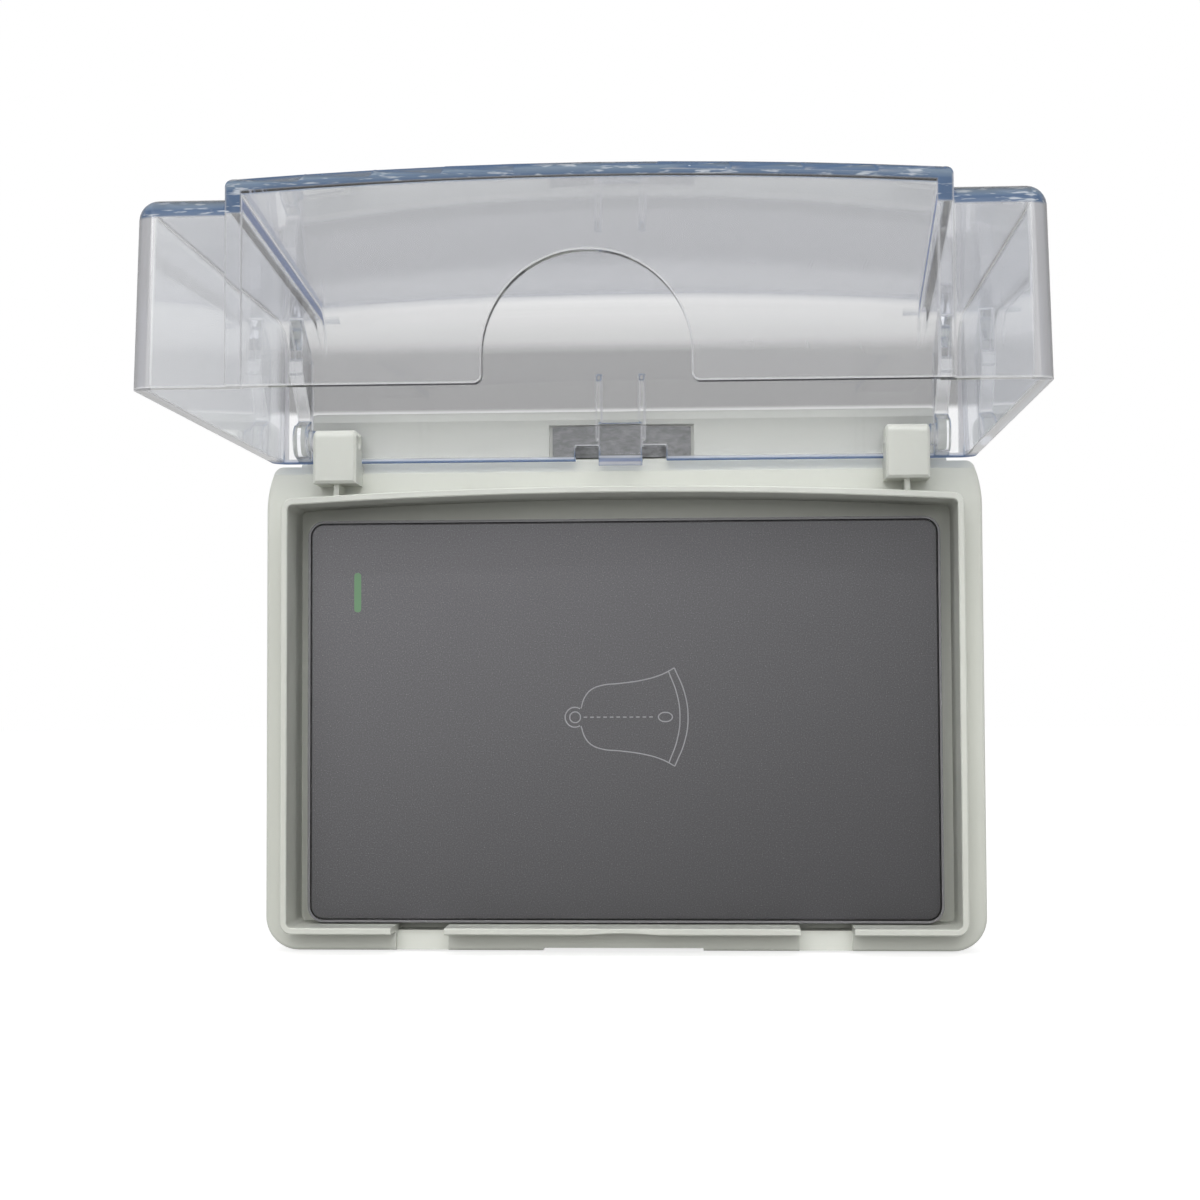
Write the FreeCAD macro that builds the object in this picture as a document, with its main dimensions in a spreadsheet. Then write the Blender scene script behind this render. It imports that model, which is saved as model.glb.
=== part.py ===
import FreeCAD, Part
import math
import operator
import os
from types import SimpleNamespace

import Sketcher

# A doorbell push in a hinged weatherproof box, shown with its clear cover open.
# X runs along the box, +Z is up the wall and the viewer stands on the -Y side.
# The wall is the plane Y = 0. Heights above the wall are called "out" below, so out = -Y,
# and what lies in the wall box behind the plate has a negative height.

doc = FreeCAD.newDocument("Doorbell")
sheet = doc.addObject("Spreadsheet::Sheet", "Sizes")

# Driving dimensions in millimetres, and angles in degrees

DIMENSIONS = [
    ("panel_width", 118.0, "doorbell front, along X"),
    ("panel_height", 75.0, "doorbell front, along Z"),
    ("panel_corner", 3.0, "corner radius of the doorbell front"),
    ("panel_out", 10.0, "front face of the doorbell above the wall"),
    ("fit_gap", 0.3, "clearance between pieces that move past each other"),
    ("key_gap", 0.15, "clearance round the key in the trim frame"),
    ("running_gap", 0.05, "radial clearance of a pin in its bore"),
    ("trim_wall", 0.45, "wall of the trim frame round the key"),
    ("trim_recess", 0.15, "step from the key's face back to the trim frame's edge"),
    ("trim_lift", 0.2, "trim frame's rear edge above the box floor"),
    ("flange_thick", 1.2, "inner flange of the trim frame"),
    ("key_face", 2.0, "thickness of the key's face"),
    ("key_skirt", 1.2, "height of the key's skirt below its face"),
    ("key_wall", 1.0, "wall of the key's skirt"),
    ("key_bevel", 0.25, "bevel round the key's face"),
    ("pivot_inset", 15.0, "key's pivot, from the doorbell's left side"),
    ("pivot_out", 6.8, "key's pivot above the wall"),
    ("pivot_radius", 0.9, "trunnion radius"),
    ("pivot_inset_z", 8.3, "inner end of each trunnion, from the yoke's edge"),
    ("pivot_length", 3.6, "length of each trunnion"),
    ("lug_width", 4.4, "key's pivot lug, along X"),
    ("lug_thick", 2.5, "key's pivot lug, along Z"),
    ("lug_foot", 0.55, "wall of the lug past the trunnion"),
    ("strip_width", 1.3, "light strip, along X"),
    ("strip_height", 7.4, "light strip, along Z"),
    ("strip_inset_x", 9.4, "light strip, from the doorbell's left side"),
    ("strip_inset_z", 13.5, "light strip, from the doorbell's upper edge"),
    ("strip_depth", 3.0, "light guide, from its face to its back"),
    ("strip_corner", 0.6, "corner radius of the light strip"),
    ("tact_x", 16.0, "push switch, left of the middle"),
    ("tact_size", 6.0, "push switch, side of its body"),
    ("tact_tall", 3.4, "push switch, height of its body"),
    ("plunger_radius", 1.7, "push switch, radius of its plunger"),
    ("plunger_stand", 1.8, "plunger's height above the switch body"),
    ("plunger_guide", 1.0, "length of plunger inside the switch body at rest"),
    ("plunger_room", 0.6, "depth left below the plunger in its bore"),
    ("plunger_side_gap", 0.1, "radial clearance of the plunger"),
    ("press_gap", 0.1, "free play between the key's boss and the plunger"),
    ("boss_radius", 2.4, "key's pressing boss"),
    ("floor_thick", 2.8, "floor of the box"),
    ("band_side", 3.95, "flat band beside the lip"),
    ("band_foot", 3.5, "flat band below the lip"),
    ("box_corner", 6.2, "lower corner radius of the box"),
    ("taper_tall", 4.8, "how far below the shoulder the box's sides bend inwards"),
    ("taper_round", 20.0, "large radius that softens that bend"),
    ("taper_in", 1.8, "how far each side has drawn in at the shoulder"),
    ("shoulder_drop", 4.2, "the box's shoulder, below the hinge axis"),
    ("shoulder_round", 1.5, "radius of the shoulder"),
    ("neck_inset", 6.3, "hinge strip above the shoulder, from the box's side"),
    ("neck_rise", 5.6, "upper edge of the box, above the hinge axis"),
    ("neck_corner", 3.5, "corner radius of the hinge strip"),
    ("band_out", 11.0, "flat band round the lip, above the wall"),
    ("band_bevel", 0.6, "rounding of the band's outer edge"),
    ("lip_out", 17.5, "top of the lip above the wall"),
    ("lip_wall", 1.2, "thickness of the lip"),
    ("lip_corner", 2.2, "outer corner radius of the lip"),
    ("recess_corner", 1.0, "corner radius inside the lip"),
    ("lip_bevel", 0.2, "bevel of the lip's top"),
    ("recess_side_gap", 2.5, "recess wall, from the doorbell's side"),
    ("recess_foot_gap", 0.3, "recess wall, from the doorbell's lower edge"),
    ("recess_top_gap", 2.4, "recess wall, from the doorbell's upper edge at the ends"),
    ("recess_rise", 1.8, "how far the upper wall arches up in the middle"),
    ("window_gap", 3.0, "opening in the floor, from the rear housing"),
    ("window_corner", 3.0, "corner radius of that opening"),
    ("screw_spacing", 83.5, "distance between the two wall screws"),
    ("screw_radius", 1.75, "wall screw's shank"),
    ("screw_hole_radius", 2.1, "half the width of the yoke's slots"),
    ("floor_hole_radius", 3.0, "holes in the box floor round the wall screws"),
    ("screw_slot", 4.0, "straight length of the yoke's slots"),
    ("screw_neck_radius", 1.95, "wall screw's plain neck in the yoke"),
    ("screw_neck_tall", 1.5, "length of that neck"),
    ("screw_head_radius", 3.3, "wall screw's head"),
    ("screw_head_tall", 2.2, "wall screw's head"),
    ("screw_reach", 18.0, "wall screw's length behind the wall plane"),
    ("drain_inset", 25.4, "drain notch, from the lip's side to its centre"),
    ("drain_width", 9.8, "drain notch"),
    ("drain_floor", 3.5, "lowest point of the drain notch above the wall"),
    ("drain_step", 8.5, "drain's ramp above the wall where it starts"),
    ("drain_end", 10.2, "drain's ramp above the wall at the box's edge"),
    ("grip_half_width", 14.8, "finger relief in the lower edge, half its width"),
    ("grip_depth", 0.5, "depth of the finger relief"),
    ("grip_from", 4.0, "finger relief starts this far above the wall"),
    ("scoop_half_width", 7.2, "shallow scoop in the lip above the finger relief"),
    ("scoop_rise", 0.45, "rise of that scoop"),
    ("gasket_inset", 2.5, "rear seal, from the box's side and lower edge"),
    ("gasket_drop", 1.3, "rear seal's upper edge, below the shoulder"),
    ("gasket_width", 2.5, "width of the rear seal"),
    ("gasket_deep", 1.5, "depth of the rear seal's groove"),
    ("gasket_corner", 5.0, "outer corner radius of the rear seal"),
    ("bay_count", 5.0, "hollow bays behind the hinge strip"),
    ("bay_inset", 2.7, "outermost wall of the bays, from the hinge strip's end"),
    ("bay_drop", 3.0, "lower wall of the bays, below the hinge axis"),
    ("bay_rise", 3.4, "upper wall of the bays, above the hinge axis"),
    ("bay_deep", 4.5, "depth of the bays"),
    ("bay_rib", 2.0, "rib between two bays"),
    ("hinge_rise", 12.1, "hinge axis, above the ends of the recess"),
    ("hinge_out", 15.0, "hinge axis above the wall"),
    ("trough_radius", 7.0, "hollow round the hinge axis"),
    ("stop_out", 9.3, "flat above the trough, which stops the open cover"),
    ("knuckle_inset", 13.0, "knuckle's inner end, from the recess wall"),
    ("knuckle_width", 8.0, "knuckle, along X"),
    ("knuckle_radius", 3.0, "round back of the knuckle"),
    ("knuckle_crown", 1.7, "top of the knuckle above the hinge axis"),
    ("knuckle_front", 18.6, "front face of the knuckle above the wall"),
    ("knuckle_drop", 8.2, "lower end of the knuckle's post, below the hinge axis"),
    ("knuckle_post_drop", 4.3, "upper end of the post, below the hinge axis"),
    ("knuckle_brow", 1.6, "rounding of the knuckle's upper front edge"),
    ("knuckle_bevel", 0.5, "bevel of the knuckle's other front edges"),
    ("gusset_wall", 1.0, "web between lip and knuckle"),
    ("gusset_out", 16.4, "height of that web above the wall"),
    ("snap_width", 2.7, "mouth through which the pin snaps in"),
    ("pin_radius", 1.6, "cover's hinge pins"),
    ("pin_inset", 1.1, "hinge pin's inner end, from the knuckle's inner end"),
    ("pin_shoulder", 2.0, "radius of the pin's shoulder"),
    ("ear_gap", 1.4, "cover's ear, from the knuckle"),
    ("ear_thick", 2.5, "thickness of the ear"),
    ("ear_radius", 3.0, "round end of the ear"),
    ("ear_rib_out", 5.5, "how far the ear's rib stands past the hinge axis"),
    ("spring_half_length", 13.0, "leaf spring, half its length"),
    ("spring_width", 5.8, "leaf spring, along Z"),
    ("spring_thick", 0.4, "leaf spring's sheet"),
    ("spring_bow", 1.5, "how far the leaf spring bows out"),
    ("pocket_out", 7.0, "floor of the spring's pocket above the wall"),
    ("pocket_gap", 0.6, "spring's clearance in its pocket"),
    ("cam_half_width", 4.0, "cover's cam, half its width"),
    ("cam_back", 5.4, "cam's flat for the open cover, from the hinge axis"),
    ("cam_foot", 4.9, "cam's flat for the closed cover, from the hinge axis"),
    ("cam_round", 3.4, "rounding between the cam's two flats"),
    ("cam_rib_rise", 13.0, "upper end of the cam's two ribs, above the hinge axis"),
    ("cam_rib_stand", 1.6, "height of those ribs"),
    ("cam_notch", 8.5, "notch in the cover's rim beside the cam, half its width"),
    ("cam_notch_tall", 2.7, "height of that notch"),
    ("lid_wall", 2.0, "wall of the clear cover"),
    ("lid_back", 5.4, "cover's upper wall, from the hinge axis to its outside"),
    ("lid_rim", 3.7, "cover's rim behind the hinge axis"),
    ("lid_clear", 0.7, "gap between the closed cover and the lip"),
    ("lid_depth", 27.6, "depth of the cover's side parts"),
    ("lid_draft", 0.6, "how far the cover's walls lean in over its depth"),
    ("lid_round", 3.0, "edge radius of the cover"),
    ("lid_brow", 9.0, "large radius between the cover's upper wall and its face"),
    ("bulge_stand", 1.8, "raised middle of the cover above its side parts"),
    ("bulge_camber", 2.0, "arch of the raised middle"),
    ("bulge_inset", 8.2, "raised middle's side at the hinge, from the cover's side"),
    ("bulge_narrowing", 5.8, "how much nearer the middle it is at the free end"),
    ("bulge_nose", 1.0, "raised middle past the side parts at the free end"),
    ("bulge_round", 1.4, "edge radius of the raised middle"),
    ("arch_radius", 14.8, "cable arch in the cover's free wall"),
    ("arch_straight", 4.0, "straight sides of the cable arch"),
    ("arch_corner", 1.2, "rounding between the cable arch and the rim"),
    ("yoke_thick", 1.2, "steel yoke"),
    ("yoke_inset_x", 4.0, "steel yoke, from the doorbell's side"),
    ("yoke_inset_z", 3.2, "steel yoke, from the doorbell's upper and lower edge"),
    ("yoke_corner", 2.0, "corner radius of the yoke"),
    ("flange_rest", 2.0, "how far the trim frame's flange overlaps the yoke"),
    ("carrier_thick", 1.1, "plate that carries the key"),
    ("housing_half_width", 34.0, "rear housing"),
    ("housing_half_height", 23.0, "rear housing"),
    ("housing_wall", 1.5, "rear housing"),
    ("housing_deep", 14.0, "rear housing's depth behind the wall plane"),
    ("housing_corner", 3.0, "corner radius of the rear housing"),
    ("post_size", 4.4, "side of the housing's screw posts"),
    ("board_thick", 1.6, "main circuit board"),
    ("board_out", 1.2, "front of the main board above the wall"),
    ("board_gap", 0.4, "main board's clearance in the housing"),
    ("small_screw_radius", 0.9, "housing screw's shank"),
    ("small_head_radius", 1.9, "housing screw's head"),
    ("small_head_tall", 1.2, "housing screw's head"),
    ("small_screw_length", 12.0, "housing screw's shank"),
    ("terminal_width", 15.2, "terminal block, along X"),
    ("terminal_height", 10.0, "terminal block, along Z"),
    ("terminal_pitch", 5.08, "distance between two terminals"),
    ("terminal_inset_x", 22.0, "terminal block, from the housing's right side"),
    ("terminal_inset_z", 10.0, "terminal block, from the housing's lower side"),
    ("terminal_hole", 1.9, "radius of the holes over the terminal screws"),
    ("terminal_recess", 3.0, "depth of the terminal screws in their holes"),
    ("wire_hole", 1.3, "half the side of the wire entries"),
    ("supply_width", 26.0, "power supply module, along X"),
    ("supply_height", 17.0, "power supply module, along Z"),
    ("supply_tall", 11.0, "power supply module, height on the board"),
    ("supply_x", 14.5, "power supply module, left of the middle"),
    ("supply_z", 7.0, "power supply module, above the middle"),
    ("capacitor_radius", 4.0, "smoothing capacitor"),
    ("capacitor_tall", 11.0, "smoothing capacitor"),
    ("capacitor_inset_x", 26.0, "smoothing capacitor, from the housing's right side"),
    ("capacitor_inset_z", 11.0, "smoothing capacitor, from the housing's upper side"),
    ("radio_width", 22.0, "radio module, along X"),
    ("radio_height", 15.0, "radio module, along Z"),
    ("radio_thick", 0.8, "radio module's board"),
    ("radio_inset_x", 26.0, "radio module, from the housing's right side"),
    ("radio_inset_z", 19.0, "radio module, from the housing's upper side"),
    ("shield_width", 14.0, "radio shield, along X"),
    ("shield_height", 12.0, "radio shield, along Z"),
    ("shield_tall", 1.5, "radio shield"),
    ("shield_wall", 0.2, "radio shield's sheet"),
    ("led_board_width", 4.6, "light board, along X"),
    ("led_board_height", 10.0, "light board, along Z"),
    ("led_board_thick", 0.8, "light board"),
    ("led_size", 1.2, "side of each light"),
    ("led_tall", 0.7, "height of each light"),
    ("led_pitch", 4.0, "distance between the two lights"),
]

# A size carries its value and the formula over the sheet's cells that gives it,
# so a sketch can be drawn with the value and then bound to the formula.

SIGNS = {"+": operator.add, "-": operator.sub, "*": operator.mul, "/": operator.truediv}


class Size:
    def __init__(self, value, formula):
        self.value = value
        self.formula = formula

    def __add__(self, other):
        return combine(self, "+", other)

    def __radd__(self, other):
        return combine(other, "+", self)

    def __sub__(self, other):
        return combine(self, "-", other)

    def __rsub__(self, other):
        return combine(other, "-", self)

    def __mul__(self, other):
        return combine(self, "*", other)

    def __rmul__(self, other):
        return combine(other, "*", self)

    def __truediv__(self, other):
        return combine(self, "/", other)

    def __neg__(self):
        return combine(-1, "*", self)


def as_size(number):
    if isinstance(number, Size):
        return number
    return Size(float(number), f"({float(number)})")


def combine(left, sign, right):
    left = as_size(left)
    right = as_size(right)
    value = SIGNS[sign](left.value, right.value)
    return Size(value, f"({left.formula} {sign} {right.formula})")


def root(number):
    return Size(math.sqrt(number.value), f"sqrt({number.formula})")


size = SimpleNamespace()
for row, (alias, value, meaning) in enumerate(DIMENSIONS, start=1):
    sheet.set(f"A{row}", meaning)
    sheet.set(f"B{row}", str(value))
    sheet.setAlias(f"B{row}", alias)
    setattr(size, alias, Size(value, f"Sizes.{alias}"))
doc.recompute()


# Drawing and building helpers


def bind(thing, name, number):
    thing.setExpression(name, as_size(number).formula)


def point(x, y):
    return FreeCAD.Vector(as_size(x).value, as_size(y).value, 0)


def pin_point(sketch, edge, end, x, y):
    for kind, number in (("DistanceX", as_size(x)), ("DistanceY", as_size(y))):
        constraint = Sketcher.Constraint(kind, -1, 1, edge, end, number.value)
        index = sketch.addConstraint(constraint)
        bind(sketch, f"Constraints[{index}]", number)


def polygon(*corners):
    def draw(sketch):
        count = len(corners)
        edges = []
        for index, corner in enumerate(corners):
            following = corners[(index + 1) % count]
            line = Part.LineSegment(point(*corner), point(*following))
            edges.append(sketch.addGeometry(line, False))
        for index, edge in enumerate(edges):
            after = edges[(index + 1) % count]
            sketch.addConstraint(Sketcher.Constraint("Coincident", edge, 2, after, 1))
            pin_point(sketch, edge, 1, *corners[index])

    return draw


def rectangle(left, right, low, high):
    return polygon((left, low), (right, low), (right, high), (left, high))


def centred(x, y, width, height):
    return rectangle(x - width / 2, x + width / 2, y - height / 2, y + height / 2)


def rounded(left, right, low, high, radius):
    """A rectangle with round corners."""
    corners = [(left, low, 1, 1), (right, low, -1, 1), (right, high, -1, -1), (left, high, 1, -1)]

    def draw(sketch):
        touches = []
        for x, y, inward_x, inward_y in corners:
            side_x, side_y = (x, y + inward_y * radius), (x + inward_x * radius, y)
            touches.append((side_x, side_y))
        # Each line runs from one corner's end to the next corner's start
        ends = [
            (touches[0][1], touches[1][1]),
            (touches[1][0], touches[2][0]),
            (touches[2][1], touches[3][1]),
            (touches[3][0], touches[0][0]),
        ]
        lines = []
        for start, end in ends:
            line = Part.LineSegment(point(*start), point(*end))
            lines.append(sketch.addGeometry(line, False))
        for index, (x, y, inward_x, inward_y) in enumerate(corners):
            before, after = lines[index - 1], lines[index]
            near = 1 - math.sqrt(0.5)
            middle = point(x + inward_x * near * radius, y + inward_y * near * radius)
            arc = Part.Arc(point(*ends[index - 1][1]), middle, point(*ends[index][0]))
            edge = sketch.addGeometry(arc, False)
            sketch.addConstraint(Sketcher.Constraint("Coincident", edge, 1, before, 2))
            sketch.addConstraint(Sketcher.Constraint("Coincident", edge, 2, after, 1))
            number = sketch.addConstraint(
                Sketcher.Constraint("Radius", edge, as_size(radius).value))
            bind(sketch, f"Constraints[{number}]", radius)
        for line, (start, end) in zip(lines, ends):
            pin_point(sketch, line, 1, *start)
            pin_point(sketch, line, 2, *end)

    return draw


def circle(x, y, radius):
    def draw(sketch):
        ring = Part.Circle(point(x, y), FreeCAD.Vector(0, 0, 1), as_size(radius).value)
        edge = sketch.addGeometry(ring, False)
        pin_point(sketch, edge, 3, x, y)
        index = sketch.addConstraint(Sketcher.Constraint("Radius", edge, as_size(radius).value))
        bind(sketch, f"Constraints[{index}]", radius)

    return draw


def arched(half_width, low, high, rise):
    """A rectangle whose upper side is an arc that rises in the middle."""
    radius = (half_width * half_width + rise * rise) / (2 * rise)

    def draw(sketch):
        corners = [(half_width, high), (-half_width, high), (-half_width, low), (half_width, low)]
        apex = point(0, high + rise)
        arc = Part.Arc(point(*corners[0]), apex, point(*corners[1]))
        edges = [sketch.addGeometry(arc, False)]
        for start, end in ((1, 2), (2, 3), (3, 0)):
            line = Part.LineSegment(point(*corners[start]), point(*corners[end]))
            edges.append(sketch.addGeometry(line, False))
        for index, edge in enumerate(edges):
            after = edges[(index + 1) % 4]
            sketch.addConstraint(Sketcher.Constraint("Coincident", edge, 2, after, 1))
            pin_point(sketch, edge, 1, *corners[index])
        index = sketch.addConstraint(Sketcher.Constraint("Radius", edges[0], radius.value))
        bind(sketch, f"Constraints[{index}]", radius)

    return draw


def new_body(name):
    body = doc.addObject("PartDesign::Body", name)
    body.Label = name
    return body


def sketch_on(body, plane_name, height, profiles):
    """A sketch on one of the body's own planes, moved along its normal.

    FRONT looks along +Y and is drawn in X and Z, its normal points out of the wall.
    TOP is drawn in X and Y, SIDE in Y and Z with its normal along +X."""
    plane = next(item for item in body.Origin.OriginFeatures if item.Role == plane_name)
    sketch = body.newObject("Sketcher::SketchObject", f"{body.Name}_outline")
    sketch.AttachmentSupport = [(plane, "")]
    sketch.MapMode = "FlatFace"
    bind(sketch, ".AttachmentOffset.Base.z", height)
    for draw in profiles:
        draw(sketch)
    return sketch


FRONT = "XZ_Plane"
SIDE = "YZ_Plane"
TOP = "XY_Plane"


def add(body, plane_name, low, high, *profiles):
    sketch = sketch_on(body, plane_name, low, profiles)
    pad = body.newObject("PartDesign::Pad", f"{body.Name}_pad")
    pad.Profile = sketch
    bind(pad, "Length", high - low)
    return pad


def cut(body, plane_name, low, high, *profiles):
    sketch = sketch_on(body, plane_name, high, profiles)
    pocket = body.newObject("PartDesign::Pocket", f"{body.Name}_pocket")
    pocket.Profile = sketch
    bind(pocket, "Length", high - low)
    return pocket


def vertex(x, out, z):
    return Part.Vertex(as_size(x).value, -as_size(out).value, as_size(z).value)


def edge_names(shape, places):
    """The name of the edge that lies nearest to each place."""
    names = []
    for place in places:
        spot = vertex(*place)
        distances = [edge.distToShape(spot)[0] for edge in shape.Edges]
        names.append(f"Edge{distances.index(min(distances)) + 1}")
    return sorted(set(names))


def round_edges(body, radius, places):
    doc.recompute()
    base = body.Tip
    fillet = body.newObject("PartDesign::Fillet", f"{body.Name}_fillet")
    fillet.Base = (base, edge_names(base.Shape, places))
    bind(fillet, "Radius", radius)
    return fillet


def bevel_edges(body, width, places):
    doc.recompute()
    base = body.Tip
    bevel = body.newObject("PartDesign::Chamfer", f"{body.Name}_chamfer")
    bevel.Base = (base, edge_names(base.Shape, places))
    bind(bevel, "Size", width)
    return bevel


def place(thing, x, out, z):
    bind(thing, ".Placement.Base.x", x)
    bind(thing, ".Placement.Base.y", -as_size(out))
    bind(thing, ".Placement.Base.z", z)


def block(name, left, right, near_wall, far_out, low, high):
    """A box from near_wall to far_out above the wall."""
    box = doc.addObject("Part::Box", name)
    bind(box, "Length", right - left)
    bind(box, "Width", far_out - near_wall)
    bind(box, "Height", high - low)
    place(box, left, far_out, low)
    return box


def rod_out(name, x, z, radius, low, high):
    """A cylinder square to the wall, between two heights above it."""
    rod = doc.addObject("Part::Cylinder", name)
    bind(rod, "Radius", radius)
    bind(rod, "Height", high - low)
    rod.Placement.Rotation = FreeCAD.Rotation(FreeCAD.Vector(1, 0, 0), 90)
    place(rod, x, low, z)
    return rod


def rod_across(name, start, end, out, z, radius):
    """A cylinder along X."""
    rod = doc.addObject("Part::Cylinder", name)
    bind(rod, "Radius", radius)
    bind(rod, "Height", end - start)
    rod.Placement.Rotation = FreeCAD.Rotation(FreeCAD.Vector(0, 1, 0), 90)
    place(rod, start, out, z)
    return rod


def join(name, parts):
    fused = doc.addObject("Part::MultiFuse", name)
    fused.Shapes = parts
    fused.Label = name
    return fused


def remove(name, base, tool):
    result = doc.addObject("Part::Cut", name)
    result.Base = base
    result.Tool = tool
    result.Label = name
    return result


def group(name, parts):
    compound = doc.addObject("Part::Compound", name)
    compound.Links = parts
    compound.Label = name
    return compound


def mirrored(side, inner, outer):
    """The span from inner to outer on the side 1 or -1 of the middle."""
    if side > 0:
        return inner, outer
    return -outer, -inner


SIDES = (-1, 1)

# Sizes that several pieces share

panel_half_width = size.panel_width / 2
panel_half_height = size.panel_height / 2
trim_inner_width = panel_half_width - size.trim_wall
trim_inner_height = panel_half_height - size.trim_wall
key_half_width = trim_inner_width - size.key_gap
key_half_height = trim_inner_height - size.key_gap
key_under = size.panel_out - size.key_face
strip_x = panel_half_width - size.strip_inset_x
strip_z = panel_half_height - size.strip_inset_z

recess_half_width = panel_half_width + size.recess_side_gap
recess_foot = panel_half_height + size.recess_foot_gap
recess_side_top = panel_half_height + size.recess_top_gap
lip_half_width = recess_half_width + size.lip_wall
lip_foot = recess_foot + size.lip_wall
lip_side_top = recess_side_top + size.lip_wall
box_half_width = lip_half_width + size.band_side
box_foot = lip_foot + size.band_foot
drain_x = lip_half_width - size.drain_inset

hinge_z = recess_side_top + size.hinge_rise
shoulder_z = hinge_z - size.shoulder_drop
taper_start = shoulder_z - size.taper_tall
neck_half_width = box_half_width - size.neck_inset
neck_top = hinge_z + size.neck_rise
gasket_half_width = box_half_width - size.gasket_inset
gasket_foot = box_foot - size.gasket_inset
gasket_top = shoulder_z - size.gasket_drop
bay_half_width = neck_half_width - size.bay_inset
bay_low = hinge_z - size.bay_drop
bay_high = hinge_z + size.bay_rise
trough_low = hinge_z - root(
    size.trough_radius * size.trough_radius
    - (size.hinge_out - size.band_out) * (size.hinge_out - size.band_out)
)
trough_high = hinge_z + root(
    size.trough_radius * size.trough_radius
    - (size.hinge_out - size.stop_out) * (size.hinge_out - size.stop_out)
)

knuckle_inner = recess_half_width - size.knuckle_inset
knuckle_outer = knuckle_inner + size.knuckle_width
knuckle_foot = hinge_z - size.knuckle_drop
knuckle_post_top = hinge_z - size.knuckle_post_drop
gusset_x = (knuckle_inner + knuckle_outer) / 2
pin_inner = knuckle_inner + size.pin_inset
ear_inner = knuckle_outer + size.ear_gap
pocket_half = size.spring_half_length + size.pocket_gap

rim_z = hinge_z - size.lid_rim
lid_outer_back = size.hinge_out - size.lid_back
lid_half_width = lip_half_width + size.lid_clear + size.lid_wall
lid_outer_near = size.hinge_out + hinge_z + lip_foot + size.lid_clear + size.lid_wall
wing_top = rim_z + size.lid_depth
bulge_top = wing_top + size.bulge_stand
bulge_far = lid_half_width - size.bulge_inset
bulge_near = bulge_far - size.bulge_narrowing
cam_rib_top = hinge_z + size.cam_rib_rise

yoke_front = size.floor_thick + size.yoke_thick
yoke_half_width = panel_half_width - size.yoke_inset_x
yoke_half_height = panel_half_height - size.yoke_inset_z
flange_half_width = yoke_half_width - size.flange_rest
flange_half_height = yoke_half_height - size.flange_rest
carrier_front = yoke_front + size.carrier_thick
pivot_x = panel_half_width - size.pivot_inset
pivot_z = yoke_half_height - size.pivot_inset_z
window_half_width = size.housing_half_width + size.window_gap
window_half_height = size.housing_half_height + size.window_gap
tact_top = size.board_out + size.tact_tall
plunger_top = tact_top + size.plunger_stand
housing_back = -size.housing_deep
board_back = size.board_out - size.board_thick
terminal_x = size.housing_half_width - size.terminal_inset_x
terminal_z = size.housing_half_height - size.terminal_inset_z
capacitor_x = size.housing_half_width - size.capacitor_inset_x
capacitor_z = size.housing_half_height - size.capacitor_inset_z
radio_x = size.housing_half_width - size.radio_inset_x
radio_z = size.housing_half_height - size.radio_inset_z


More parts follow.
